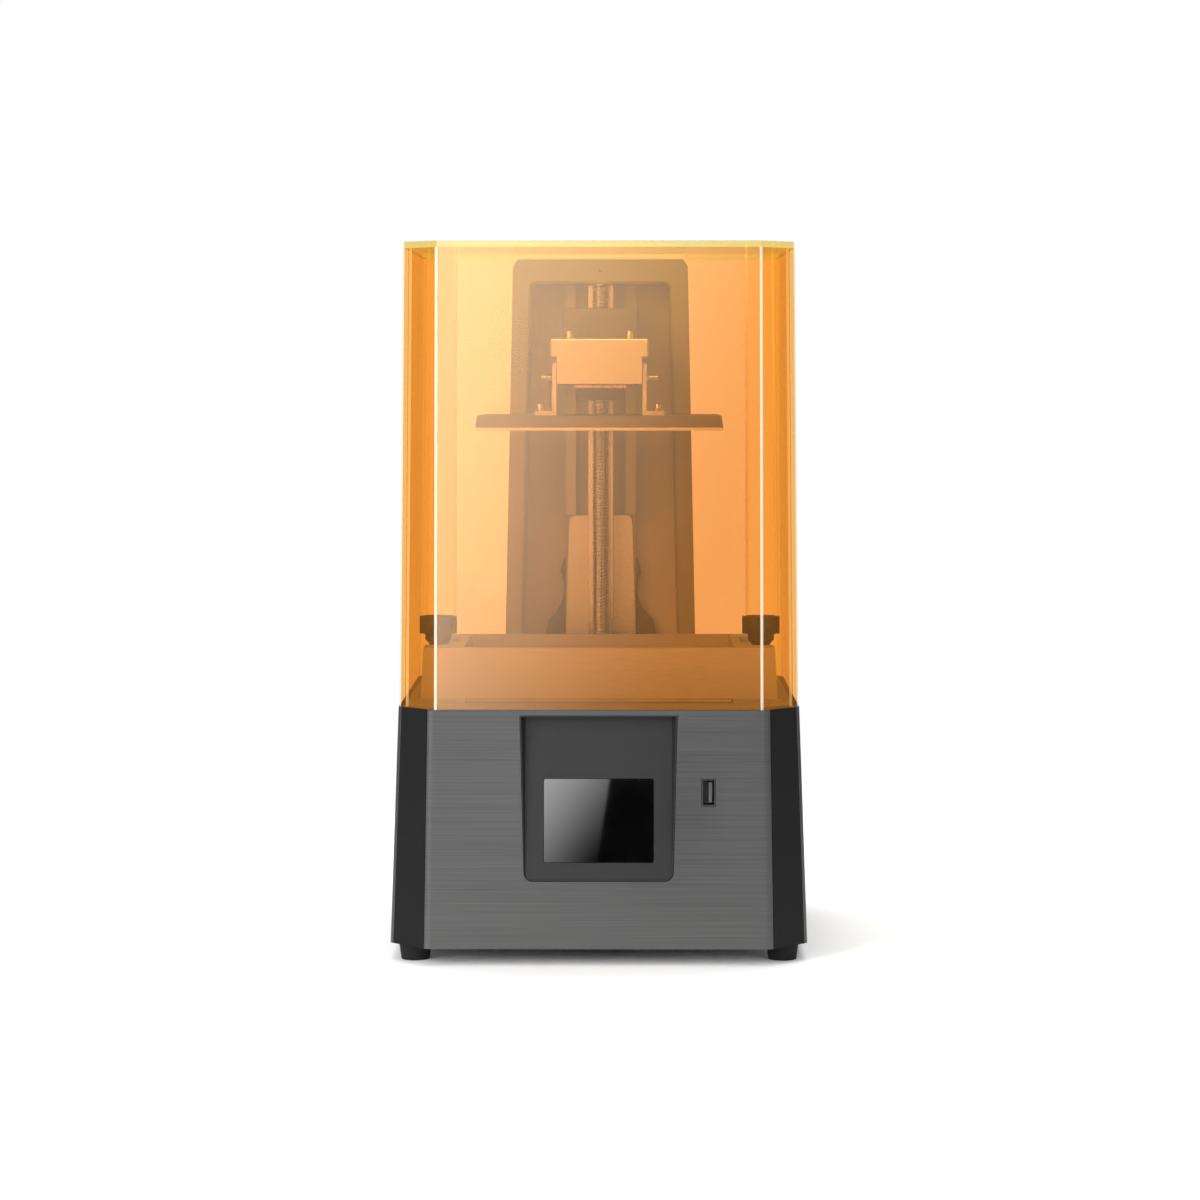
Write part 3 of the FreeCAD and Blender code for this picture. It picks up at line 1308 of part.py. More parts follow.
def make_rotor(back, post_end):
    """Fan hub with seven pitched blades, bored to turn on the frame's post."""
    body = new_body("rotor")
    start = f"{back} + fan_blade_gap"
    end = "-(sheet) - fan_blade_gap"
    hub = [(("0", "0"), "fan_hub_radius")]
    extrude(body, "y", start, end, circles=hub)
    span = f"(({end}) - ({start}))"
    shift = f"({span} * tan(fan_blade_pitch * 1 deg) / 2)"
    tip = "fan_throat - fan_blade_gap"
    thick = "fan_blade_thick"
    sections = [
        (start, box_points("fan_hub_radius / 2", tip, f"-{shift} / 2", f"-{shift} / 2 + {thick}")),
        (end, box_points("fan_hub_radius / 2", tip, f"{shift} / 2", f"{shift} / 2 + {thick}")),
    ]
    blade = loft(body, "PartDesign::AdditiveLoft", "y", sections)
    doc.recompute()
    ring = body.newObject("PartDesign::PolarPattern", "blades")
    ring.Originals = [blade]
    axis = next(item for item in body.Origin.OriginFeatures if item.Role == "Y_Axis")
    ring.Axis = (axis, [""])
    ring.Angle = 360
    ring.Occurrences = 7
    body.Tip = ring
    post = [(("0", "0"), "fan_post_radius + running_gap")]
    extrude(body, "y", start, f"{post_end} + fan_blade_gap / 2", circles=post, cut=True)
    y = "base_half_bottom - (fan_z - foot_tall) * sin(flare)"
    z = "foot_tall + (fan_z - foot_tall) * cos(flare)"
    return place(body, "fan_x", y, z, (1, 0, 0), "flare")


def make_power_inlet():
    """Direct-current socket, rocker switch housing and the rocker."""
    jack = new_body("jack")
    middle = ("jack_x", "jack_z - foot_tall")
    extrude(jack, "y", "-(sheet) - jack_deep", "-(sheet)", [centred("jack_half", "jack_half", *middle)])
    extrude(jack, "y", "-(sheet)", "jack_proud", circles=[(middle, "jack_radius")])
    extrude(jack, "y", "-(sheet) - jack_bore_deep", "jack_proud", circles=[(middle, "jack_bore")], cut=True)
    extrude(jack, "y", "-(sheet) - jack_bore_deep", "-(sheet) / 2", circles=[(middle, "jack_pin")])
    keep(lean_back(jack), "power_socket")
    case = new_body("switch_case")
    spot = ("power_x", "power_z - foot_tall")
    body_box = centred("power_half_x", "power_half_z", *spot)
    rim = centred("power_half_x + power_rim", "power_half_z + power_rim", *spot)
    extrude(case, "y", "-(power_deep)", "0", [body_box])
    extrude(case, "y", "0", "power_proud", [rim])
    inside = centred("power_half_x - power_rim", "power_half_z - power_rim", *spot)
    extrude(case, "y", "-(power_deep - power_rim)", "power_proud", [inside], cut=True)
    keep(lean_back(make_switch_holes(case, spot)), "switch_housing")
    make_rocker()


def make_switch_holes(case, spot):
    """Pivot holes in the switch housing's two sides."""
    middle = (rocker_axis(), spot[1])
    bore = "rocker_pin_radius + running_gap"
    for side in (-1, 1):
        ends = [f"{spot[0]} + {side} * (power_half_x - power_rim)",
                f"{spot[0]} + {side} * (power_half_x - power_rim / 4)"]
        if side < 0:
            ends.reverse()
        extrude(case, "x", *ends, circles=[(middle, bore)], cut=True)
    return case


def rocker_axis():
    """Depth of the rocker's pivot behind the rear panel's face."""
    return "(-(power_deep) / 4)"


def make_rocker():
    """Rocker that tips on two stub pins, stored with its lower end pressed in."""
    body = new_body("rocker")
    half_x = "(power_half_x - power_rim - rocker_clear)"
    half_z = "(power_half_z - power_rim - rocker_clear)"
    proud = "(rocker_proud + power_deep / 4)"
    profile = [
        ("-(rocker_back)", f"-({half_z}) * rocker_back_share"),
        (f"{proud} - rocker_bevel", f"-({half_z}) * rocker_end_share"),
        (f"{proud} * rocker_dip_share", "0"),
        (f"{proud} - rocker_bevel", f"{half_z} * rocker_end_share"),
        ("-(rocker_back)", f"{half_z} * rocker_back_share"),
    ]
    extrude(body, "x", f"-{half_x}", half_x, [profile])
    pin_end = f"({half_x} + rocker_clear + power_rim / 2)"
    extrude(body, "x", f"-{pin_end}", pin_end, circles=[(("0", "0"), "rocker_pin_radius")])
    depth = rocker_axis()
    y = f"base_half_bottom + {depth} * cos(flare) - (power_z - foot_tall) * sin(flare)"
    z = f"foot_tall + {depth} * sin(flare) + (power_z - foot_tall) * cos(flare)"
    place(body, "power_x", y, z, (-1, 0, 0), "rocker_tilt * 1 deg - flare")
    keep(body, "power_rocker")


def check_document():
    """Stop if any feature failed, any pocket missed its solid, or any sub-part is empty or unsound."""
    for item in doc.Objects:
        if "Invalid" in item.State or "Error" in item.State:
            raise RuntimeError(f"{item.Name} failed: {item.State}")
    for feature in pockets:
        if feature.BaseFeature.Shape.Volume - feature.Shape.Volume < 1e-3:
            raise RuntimeError(f"{feature.Name} cut nothing")
    for label, item in sub_parts.items():
        if item.Shape.isNull() or not item.Shape.isValid() or not item.Shape.Solids:
            raise RuntimeError(f"{label} has no sound solid")


def write_parts():
    os.makedirs("parts", exist_ok=True)
    for label, item in sub_parts.items():
        item.Shape.exportStep(f"parts/{label}.step")
        print(label, len(item.Shape.Solids), round(item.Shape.Volume, 1))
    print(len(sub_parts), "sub-parts")


make_panels()
make_bottom()
make_deck()
make_display()
make_usb()
make_lamp()
make_board()
make_lift_motor()
make_tower()
make_column()
make_end_switch()
make_carriage()
make_arm()
make_platform()
make_vat()
make_knob("left_knob", -1)
make_knob("right_knob", 1)
make_cover()
make_fan()
make_power_inlet()
doc.recompute()
check_document()
write_parts()
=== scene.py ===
# %% [markdown]
# # A desktop resin printer under its amber cover
#
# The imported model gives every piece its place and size. This file gives each one a surface, makes by hand
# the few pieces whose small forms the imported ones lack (the threaded screw, the lobed knobs, the socket
# screws), and sets up a plain white studio with the camera where the photograph was taken.

# %% Load the frame
import bpy
import json
import math
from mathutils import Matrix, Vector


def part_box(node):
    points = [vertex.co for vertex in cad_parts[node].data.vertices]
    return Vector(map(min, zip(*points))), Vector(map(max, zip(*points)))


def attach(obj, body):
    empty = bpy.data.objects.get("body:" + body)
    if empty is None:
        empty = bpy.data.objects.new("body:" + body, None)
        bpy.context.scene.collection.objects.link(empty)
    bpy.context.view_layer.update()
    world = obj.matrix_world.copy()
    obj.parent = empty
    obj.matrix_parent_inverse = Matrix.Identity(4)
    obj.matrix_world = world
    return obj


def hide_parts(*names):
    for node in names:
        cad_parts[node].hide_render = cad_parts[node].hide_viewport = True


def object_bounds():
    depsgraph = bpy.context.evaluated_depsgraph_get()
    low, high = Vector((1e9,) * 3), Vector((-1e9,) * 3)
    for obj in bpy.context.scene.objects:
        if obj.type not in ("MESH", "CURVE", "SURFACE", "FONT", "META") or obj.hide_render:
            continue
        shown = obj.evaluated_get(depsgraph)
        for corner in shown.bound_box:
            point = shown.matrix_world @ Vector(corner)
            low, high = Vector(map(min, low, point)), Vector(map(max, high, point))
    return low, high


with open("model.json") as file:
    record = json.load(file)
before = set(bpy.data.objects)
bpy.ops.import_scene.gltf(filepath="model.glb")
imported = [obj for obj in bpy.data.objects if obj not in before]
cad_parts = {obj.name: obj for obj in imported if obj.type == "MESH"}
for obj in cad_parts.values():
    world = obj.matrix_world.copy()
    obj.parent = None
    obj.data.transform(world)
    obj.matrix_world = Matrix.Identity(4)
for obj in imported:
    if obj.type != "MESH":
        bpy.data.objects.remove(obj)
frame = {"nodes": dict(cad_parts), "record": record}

cad_low, cad_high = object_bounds()
nodes = frame["nodes"]
print("nodes:", len(nodes), "box:", [round(v, 4) for v in cad_low], [round(v, 4) for v in cad_high])

# %% [markdown]
# ## Helpers for shader nodes
#
# All materials are built from the same few kinds of node. Each kind has a short function here that adds
# one node to a tree and gives back the socket to go on from.


# %% Number helpers
def place_of(tree):
    """Place on the piece, in metres."""
    return tree.nodes.new("ShaderNodeTexCoord").outputs["Object"]


def parts_of(tree, vector):
    """The three numbers of a vector, by the names X, Y and Z."""
    parted = tree.nodes.new("ShaderNodeSeparateXYZ")
    tree.links.new(vector, parted.inputs["Vector"])
    return parted.outputs


def vector_step(tree, operation, vector, fixed=(0.0, 0.0, 0.0)):
    """Outputs of a step on a vector; some steps also use a fixed vector."""
    step = tree.nodes.new("ShaderNodeVectorMath")
    step.operation = operation
    step.inputs[1].default_value = fixed
    tree.links.new(vector, step.inputs[0])
    return step.outputs


def number_step(tree, operation, *values):
    """Result of a step on numbers, each of them a socket or a fixed value."""
    step = tree.nodes.new("ShaderNodeMath")
    step.operation = operation
    for slot, value in zip(step.inputs, values):
        if isinstance(value, bpy.types.NodeSocket):
            tree.links.new(value, slot)
        else:
            slot.default_value = value
    return step.outputs["Value"]


def range_of(tree, factor, low, high, start=0.3, end=0.7, smooth=False):
    """Number that runs from low to high as a factor goes from start to end."""
    span = tree.nodes.new("ShaderNodeMapRange")
    if smooth:
        span.interpolation_type = "SMOOTHSTEP"
    span.inputs["From Min"].default_value = start
    span.inputs["From Max"].default_value = end
    span.inputs["To Min"].default_value = low
    span.inputs["To Max"].default_value = high
    tree.links.new(factor, span.inputs["Value"])
    return span.outputs["Result"]


print("number helpers ready")


# %% Colour and shader helpers
def grey(level):
    """Neutral colour."""
    return (level, level, level)


def ramp_of(tree, factor, dark, light, start=0.3, end=0.7):
    """Colour that runs from dark to light as a factor goes from start to end."""
    ramp = tree.nodes.new("ShaderNodeValToRGB")
    ramp.color_ramp.elements[0].position = start
    ramp.color_ramp.elements[0].color = (*dark, 1.0)
    ramp.color_ramp.elements[1].position = end
    ramp.color_ramp.elements[1].color = (*light, 1.0)
    tree.links.new(factor, ramp.inputs["Fac"])
    return ramp.outputs["Color"]


def mix_of(tree, factor, first, second):
    """Shader that goes from the first to the second with a factor."""
    mix = tree.nodes.new("ShaderNodeMixShader")
    tree.links.new(factor, mix.inputs["Fac"])
    tree.links.new(first, mix.inputs[1])
    tree.links.new(second, mix.inputs[2])
    return mix.outputs["Shader"]


def bare_material(name):
    """New material whose tree holds only its output."""
    material = bpy.data.materials.new(name)
    material.use_nodes = True
    tree = material.node_tree
    tree.nodes.remove(tree.nodes["Principled BSDF"])
    return material, tree


def show(tree, shader):
    """Make a shader the one that is seen."""
    tree.links.new(shader, tree.nodes["Material Output"].inputs["Surface"])


print("colour and shader helpers ready")

# %% [markdown]
# ## Grained surfaces
#
# An opaque material is a Principled surface whose colour, roughness and bump all come from one stretched
# noise. The noise reads object coordinates in metres, so a grain of 900 along Z means streaks about a
# millimetre apart. A painted image could do the same, but a formula stays sharp at any distance and
# follows the moving piece.


# %% Grained surface
def grain_of(tree, scale):
    """Noise stretched by a scale for each axis, in cycles per metre."""
    mapping = tree.nodes.new("ShaderNodeMapping")
    mapping.inputs["Scale"].default_value = scale
    noise = tree.nodes.new("ShaderNodeTexNoise")
    noise.inputs["Scale"].default_value = 1.0
    noise.inputs["Detail"].default_value = 4.0
    tree.links.new(place_of(tree), mapping.inputs["Vector"])
    tree.links.new(mapping.outputs["Vector"], noise.inputs["Vector"])
    return noise.outputs["Fac"]


def bump_of(tree, factor, depth):
    """Surface normal raised by a factor, with a depth in metres."""
    bump = tree.nodes.new("ShaderNodeBump")
    bump.inputs["Strength"].default_value = 0.6
    bump.inputs["Distance"].default_value = depth
    tree.links.new(factor, bump.inputs["Height"])
    return bump.outputs["Normal"]


def surface(name, dark, light, scale, rough, metallic=0.0, depth=0.00003, coat=0.0, shine=0.5):
    """Solid surface with a grain: two colours, two roughnesses, a metal share, a bump depth and a shine."""
    material = bpy.data.materials.new(name)
    material.use_nodes = True
    tree = material.node_tree
    shader = tree.nodes["Principled BSDF"]
    shader.inputs["Metallic"].default_value = metallic
    shader.inputs["Specular IOR Level"].default_value = shine
    shader.inputs["Coat Weight"].default_value = coat
    shader.inputs["Coat Roughness"].default_value = 0.04
    grain = grain_of(tree, scale)
    tree.links.new(ramp_of(tree, grain, dark, light), shader.inputs["Base Color"])
    tree.links.new(range_of(tree, grain, *rough), shader.inputs["Roughness"])
    tree.links.new(bump_of(tree, grain, depth), shader.inputs["Normal"])
    return material


print("grained surface ready")

# %% [markdown]
# ## Opaque materials
#
# The front, side and rear sheets are brushed sideways, so their noise is stretched along the ground and
# tight along Z. Moulded parts get an even fine grain, turned and ground metal a tight one, and boards a
# coarse weave.

# %% Opaque materials
EVEN = (1400.0, 1400.0, 1400.0)
BRUSHED = (9.0, 9.0, 1500.0)
DRAWN = (900.0, 900.0, 30.0)
looks = {
    "brushed_panel": surface("brushed_panel", grey(0.073), grey(0.102), BRUSHED, (0.34, 0.46), 0.7, 0.00002),
    "dark_corner": surface("dark_corner", grey(0.008), grey(0.011), EVEN, (0.5, 0.62), shine=0.1),
    "plate_metal": surface("plate_metal", grey(0.26), grey(0.31), EVEN, (0.45, 0.6), 0.3),
    "rubber": surface("rubber", grey(0.006), grey(0.010), (700.0, 700.0, 700.0), (0.7, 0.85), shine=0.25),
    "steel": surface("steel", grey(0.42), grey(0.6), DRAWN, (0.22, 0.36), 1.0, 0.00001),
    "black_plastic": surface("black_plastic", grey(0.012), grey(0.018), EVEN, (0.42, 0.55), shine=0.35),
    "socket_shell": surface("socket_shell", grey(0.04), grey(0.06), EVEN, (0.3, 0.4), 0.5),
    "socket_insert": surface("socket_insert", grey(0.06), grey(0.08), EVEN, (0.4, 0.5)),
    "screen_glass": surface("screen_glass", grey(0.001), grey(0.002), (60.0, 60.0, 60.0), (0.03, 0.06),
                            depth=0.000002, coat=1.0),
    "lamp_metal": surface("lamp_metal", grey(0.5), grey(0.62), (40.0, 900.0, 40.0), (0.3, 0.45), 1.0),
    "circuit_board": surface("circuit_board", (0.01, 0.05, 0.02), (0.015, 0.08, 0.035),
                             (900.0, 900.0, 100.0), (0.35, 0.5)),
    "motor_black": surface("motor_black", grey(0.015), grey(0.025), (60.0, 60.0, 1200.0), (0.4, 0.55), 0.3),
    "tower_paint": surface("tower_paint", grey(0.27), grey(0.6), EVEN, (0.5, 0.62)),
    "column_paint": surface("column_paint", grey(0.36), grey(0.4), EVEN, (0.5, 0.62)),
    "gusset_paint": surface("gusset_paint", grey(0.1), grey(0.13), EVEN, (0.5, 0.62)),
    "bright_alloy": surface("bright_alloy", grey(0.52), grey(0.64), (900.0, 60.0, 900.0), (0.3, 0.42), 0.7),
    "dark_alloy": surface("dark_alloy", grey(0.12), grey(0.15), EVEN, (0.34, 0.46), 0.5),
    "carriage_paint": surface("carriage_paint", grey(0.08), grey(0.1), EVEN, (0.4, 0.5)),
    "brass": surface("brass", (0.55, 0.36, 0.12), (0.7, 0.5, 0.2), DRAWN, (0.2, 0.34), 1.0, 0.00001),
    "vat_metal": surface("vat_metal", grey(0.35), grey(0.4), (120.0, 1200.0, 1200.0), (0.4, 0.52), 0.4),
}
print("opaque materials:", len(looks))

# %% [markdown]
# ## Tower paint with painted light in the channel
#
# The tower's front frame and the back of its channel look nearly alike in the photograph, although the
# channel lies in shade, so painted light makes the colour lighter there. A ramp along the depth of the
# tower, dark at the front frame and light at the back wall, takes the place of the even colour.

# %% Tower paint with painted light
tower_low, tower_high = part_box("tower_housing")
tree = looks["tower_paint"].node_tree
depth = range_of(tree, parts_of(tree, place_of(tree))["Y"], 0.0, 1.0, tower_low[1], tower_high[1])
# Painted light: the colour grows lighter towards the back wall, against the shade that falls in the channel.
painted_light_ramp = ramp_of(tree, depth, grey(0.175), grey(0.45), 0.05, 0.85)
tree.links.new(painted_light_ramp, tree.nodes["Principled BSDF"].inputs["Base Color"])
print("tower paint runs over", round(tower_high[1] - tower_low[1], 3), "m")

# %% [markdown]
# ## Clear materials
#
# The cover is thin coloured sheet that nothing is seen bent through, so a tinted transparent shader with
# a gloss over it is both quicker and cleaner than a refracting solid. The tint deepens where the sheet is
# seen at a slant, because the way through it is longer, and the gloss grows there too; Layer Weight gives
# that slant. A light stain keeps the sheet from being perfectly even. The lid is the same sheet, but
# gathers more light, so it gets a paler, hazier copy of the tint: painted light.


# %% Clear materials
def clear_sheet(name, thin, deep, stain, sheen, mirror_from, mirror_most):
    """Tinted clear sheet: thin is the tint of one face seen straight on, deep the tint at a slant.

    The gloss has the colour sheen. It grows from a slant of mirror_from to the share mirror_most at the edge.
    """
    material, tree = bare_material(name)
    slant = tree.nodes.new("ShaderNodeLayerWeight")
    slant.inputs["Blend"].default_value = 0.5
    facing = slant.outputs["Facing"]
    tint = ramp_of(tree, facing, thin, deep, 0.02, 0.32)
    clear = tree.nodes.new("ShaderNodeBsdfTransparent")
    tree.links.new(tint, clear.inputs["Color"])
    body = tree.nodes.new("ShaderNodeBsdfTranslucent")
    tree.links.new(tint, body.inputs["Color"])
    cloud = range_of(tree, grain_of(tree, (18.0, 18.0, 5.0)), *stain)
    inside = mix_of(tree, cloud, clear.outputs["BSDF"], body.outputs["BSDF"])
    gloss = tree.nodes.new("ShaderNodeBsdfGlossy")
    gloss.inputs["Color"].default_value = (*sheen, 1.0)
    gloss.inputs["Roughness"].default_value = 0.04
    mirror = range_of(tree, facing, 0.032, mirror_most, mirror_from, 1.0, smooth=True)
    show(tree, mix_of(tree, mirror, inside, gloss.outputs["BSDF"]))
    return material


WARM = (1.0, 0.91, 0.76)
looks["amber_cover"] = clear_sheet("amber_cover", (1.0, 0.79, 0.57), (1.0, 0.76, 0.43), (0.06, 0.09),
                                   WARM, 0.45, 0.22)
# Painted light: the lid is the same plastic as the cover, given a paler, hazier copy for the light it
# gathers.
looks["amber_lid"] = clear_sheet("amber_lid", (1.0, 0.97, 0.6), (1.0, 0.9, 0.52), (0.09, 0.12),
                                 WARM, 0.8, 0.45)
looks["clear_plastic"] = clear_sheet("clear_plastic", (0.95, 0.96, 0.97), (0.8, 0.84, 0.88), (0.03, 0.06),
                                     grey(1.0), 0.45, 0.5)
print("all materials:", sorted(looks))

# %% [markdown]
# ## Painted highlights on the cover's edges
#
# Down the eight upright edges of the cover, where the sheet is bent, a painted highlight shows as a light
# line. An edge lies where the smaller of the distances from the two middle planes equals the place of the
# octagon's corner, which moves inwards a little with height. A thin white diffuse stripe, the painted
# highlight, is mixed in there.

# %% Painted edge highlights
CORNER_CUT = 0.0213
CORNER_LEAN = 0.0012
HIGHLIGHT_HALF_WIDTH = 0.0008
HIGHLIGHT_SHARE = 0.38
cover_low, cover_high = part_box("cover_walls")
lean = CORNER_LEAN / (cover_high[2] - cover_low[2])
bend_place = cover_high[0] - CORNER_CUT + lean * cover_low[2]
tree = looks["amber_cover"].node_tree
sheet = tree.nodes["Material Output"].inputs["Surface"].links[0].from_socket
away = parts_of(tree, vector_step(tree, "ABSOLUTE", place_of(tree))["Vector"])
nearer = number_step(tree, "MINIMUM", away["X"], away["Y"])
upright = number_step(tree, "MULTIPLY_ADD", away["Z"], lean, nearer)
line = number_step(tree, "COMPARE", upright, bend_place, HIGHLIGHT_HALF_WIDTH)
# Painted highlight: a white diffuse stripe down each upright edge stands in for the highlight on the rounded
# edges.
painted_highlight = tree.nodes.new("ShaderNodeBsdfDiffuse")
painted_highlight.inputs["Color"].default_value = (1.0, 0.97, 0.9, 1.0)
show(tree, mix_of(tree, number_step(tree, "MULTIPLY", line, HIGHLIGHT_SHARE), sheet, painted_highlight.outputs["BSDF"]))
print("pale bends from", round(cover_low[2], 4), "to", round(cover_high[2], 4))

# %% [markdown]
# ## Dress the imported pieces
#
# The record names a material slot for every node, and a look has the name of its slot, so one loop
# dresses them all. A few nodes then get a look of their own, because the photograph shows them lighter or
# darker.

# %% Assign materials
for entry in frame["record"]["subparts"]:
    node = nodes[entry["node"]]
    node.data.materials.clear()
    node.data.materials.append(looks[entry["material_slot"]])
special = {
    "cover_top": "amber_lid", "usb_socket": "socket_shell", "usb_insert": "socket_insert",
    "z_column": "column_paint", "column_gussets": "gusset_paint", "carriage_block": "carriage_paint",
    "film_frame": "vat_metal", "top_bearing": "tower_paint",
}
for name, look in special.items():
    nodes[name].data.materials[0] = looks[look]

# %% [markdown]
# ## Helpers for pieces made by hand
#
# Every piece starts as a primitive at its place, is cut and bevelled with modifiers that are then
# applied, and is handed over with its transforms applied, so that its own origin is the frame's origin.


# %% Primitives
def deselect():
    """Leave nothing selected."""
    bpy.ops.object.select_all(action="DESELECT")


def select_only(piece):
    """Select one piece and make it the active one."""
    deselect()
    piece.select_set(True)
    bpy.context.view_layer.objects.active = piece


def cylinder(radius, low, high, x, y, sides=48):
    """Upright drum between two heights."""
    deselect()
    bpy.ops.mesh.primitive_cylinder_add(vertices=sides, radius=radius, depth=high - low,
                                        location=(x, y, (low + high) / 2))
    return bpy.context.object


def cone(radius_low, radius_high, low, high, x, y, sides=48):
    """Upright cone between two heights, with a radius at each."""
    deselect()
    bpy.ops.mesh.primitive_cone_add(vertices=sides, radius1=radius_low, radius2=radius_high, depth=high - low,
                                    location=(x, y, (low + high) / 2))
    return bpy.context.object


print("primitives ready")


# %% Working steps
def apply_modifier(piece, name):
    """Turn a modifier into mesh."""
    select_only(piece)
    bpy.ops.object.modifier_apply(modifier=name)


def bevel(piece, width, segments=3):
    """Round the sharp edges of a piece."""
    step = piece.modifiers.new("bevel", "BEVEL")
    step.width = width
    step.segments = segments
    step.limit_method = "ANGLE"
    step.angle_limit = math.radians(40)
    apply_modifier(piece, "bevel")


def cut_away(piece, cutter):
    """Take the cutter's form out of a piece and drop the cutter."""
    step = piece.modifiers.new("cut", "BOOLEAN")
    step.operation = "DIFFERENCE"
    step.solver = "EXACT"
    step.object = cutter
    apply_modifier(piece, "cut")
    bpy.data.objects.remove(cutter)


def join(pieces):
    """Make one object of several."""
    deselect()
    for piece in pieces:
        piece.select_set(True)
    bpy.context.view_layer.objects.active = pieces[0]
    bpy.ops.object.join()
    return bpy.context.object


def hand_over(piece, name, body, slot, packed):
    """Settle, name and dress a finished piece that rides on a body in place of a packed one."""
    select_only(piece)
    bpy.ops.object.transform_apply(location=True, rotation=True, scale=True)
    bpy.ops.object.shade_smooth_by_angle(angle=math.radians(35))
    piece.name = name
    piece.data.materials.clear()
    piece.data.materials.append(looks[slot])
    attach(piece, body)
    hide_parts(packed)
    print(name, len(piece.data.polygons), "faces")


print("working steps ready")

# %% [markdown]
# ## Lead screw
#
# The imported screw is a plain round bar. Its thread is a diamond-shaped ridge swept round the axis by a
# Screw modifier that climbs one pitch each turn, the way a lathe tool does; half of the diamond is buried
# in the core. Plain journals close both ends.

# %% Lead screw
PITCH = 0.002
TURN_STEPS = 20
screw_low, screw_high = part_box("lead_screw")
axis_x = (screw_low[0] + screw_high[0]) / 2
axis_y = (screw_low[1] + screw_high[1]) / 2
root = (screw_high[0] - screw_low[0]) / 2 - PITCH / 2
thread_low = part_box("deck_plate")[1][2]
thread_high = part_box("top_bearing")[0][2] - 0.0004
deselect()
bpy.ops.mesh.primitive_circle_add(vertices=4, radius=PITCH / 2, location=(root, 0.0, thread_low + PITCH / 2),
                                  rotation=(math.pi / 2, 0.0, 0.0))
thread = bpy.context.object
bpy.ops.object.transform_apply(location=True, rotation=True, scale=True)
sweep = thread.modifiers.new("sweep", "SCREW")
sweep.axis = "Z"
sweep.screw_offset = PITCH
sweep.iterations = int((thread_high - thread_low) / PITCH) - 1
sweep.steps = TURN_STEPS
sweep.render_steps = TURN_STEPS
apply_modifier(thread, "sweep")
bpy.ops.object.mode_set(mode="EDIT")
bpy.ops.mesh.select_all(action="SELECT")
bpy.ops.mesh.fill_holes(sides=4)
bpy.ops.mesh.normals_make_consistent(inside=False)
bpy.ops.object.mode_set(mode="OBJECT")
thread.location = (axis_x, axis_y, 0.0)
core = cylinder(root, thread_low, thread_high, axis_x, axis_y)
journal = cylinder(root - 0.0001, screw_low[2], screw_high[2], axis_x, axis_y)
bevel(journal, 0.0003)
hand_over(join([thread, core, journal]), "threaded_screw", "screw", "steel", "lead_screw")

# %% [markdown]
# ## Vat knobs
#
# A clamping knob has a lobed head that fingers can grip. The head is a drum from which six round scallops
# are cut, then its edges are rounded; a collar, a cone and the shank go below it.

# %% Vat knobs
LOBES = 6
HEAD_TALL = 0.010
HEAD_ROUNDING = 0.0026
vat_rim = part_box("vat_tank")[1][2]


def scallops(radius, low, high, x, y):
    """Drums round a knob's rim, for cutting the finger hollows."""
    reach = radius * 1.17
    drums = []
    for k in range(LOBES):
        turn = math.tau * (k + 0.5) / LOBES
        drums.append(cylinder(radius * 0.3, low - 0.001, high + 0.001, x + reach * math.cos(turn),
                              y + reach * math.sin(turn), 32))
    return join(drums)


def lobed_knob(node):
    """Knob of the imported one's outer size."""
    low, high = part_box(node)
    x = (low[0] + high[0]) / 2
    y = (low[1] + high[1]) / 2
    radius = (high[0] - low[0]) / 2
    head_low = high[2] - HEAD_TALL
    head = cylinder(radius, head_low, high[2], x, y, 96)
    cut_away(head, scallops(radius, head_low, high[2], x, y))
    bevel(head, HEAD_ROUNDING, 4)
    collar = cylinder(radius * 0.7, vat_rim + 0.0004, head_low + 0.0005, x, y)
    bevel(collar, 0.0004)
    nose = cone(radius * 0.42, radius * 0.68, vat_rim - 0.003, vat_rim + 0.0008, x, y)
    shank = cylinder(radius * 0.229, low[2], vat_rim, x, y, 32)
    hand_over(join([head, collar, nose, shank]), "lobed_" + node, node + "_body", "black_plastic", node)


for knob in ("left_knob", "right_knob"):
    lobed_knob(knob)

# %% [markdown]
# ## Socket screws
#
# The screws on the arm and on the plate's brackets have hexagon sockets. The rim of each head is rounded,
# then a six-sided drum is cut out of it; the shank is a plain bar.

# %% Socket screws
SHANK_RADIUS = 0.0015
PLATE_HEAD_RADIUS = 0.00235
PLATE_HEAD_TALL = 0.004


def socket_screw(x, y, low, seat, high, radius):
    """Screw whose head stands from its seat to the top."""
    head = cylinder(radius, seat, high, x, y, 40)
    bevel(head, 0.0003, 2)
    cut_away(head, cylinder(radius * 0.52, high - (high - seat) * 0.5, high + 0.001, x, y, 6))
    shank = cylinder(SHANK_RADIUS, low, seat + 0.0002, x, y, 24)
    return join([head, shank])


def screw_set(node, body, seat, radius, spots):
    """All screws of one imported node."""
    low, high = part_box(node)
    made = [socket_screw(x, y, low[2], seat, high[2], radius) for x, y in spots]
    hand_over(join(made), "socket_" + node, body, "steel", node)


arm_low, arm_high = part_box("arm_screws")
arm_radius = (arm_high[1] - arm_low[1]) / 2
arm_y = (arm_low[1] + arm_high[1]) / 2
screw_set("arm_screws", "carriage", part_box("arm_block")[1][2], arm_radius,
          [(arm_low[0] + arm_radius, arm_y), (arm_high[0] - arm_radius, arm_y)])
plate_low, plate_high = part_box("plate_screws")
plate_spots = [(x, y) for x in (plate_low[0] + PLATE_HEAD_RADIUS, plate_high[0] - PLATE_HEAD_RADIUS)
               for y in (plate_low[1] + PLATE_HEAD_RADIUS, plate_high[1] - PLATE_HEAD_RADIUS)]
screw_set("plate_screws", "platform", plate_high[2] - PLATE_HEAD_TALL, PLATE_HEAD_RADIUS, plate_spots)

# %% [markdown]
# ## World and floor
#
# The photograph is a product shot on white. The world is white to the camera and softer to everything
# else, and a pale floor catches a little shadow.


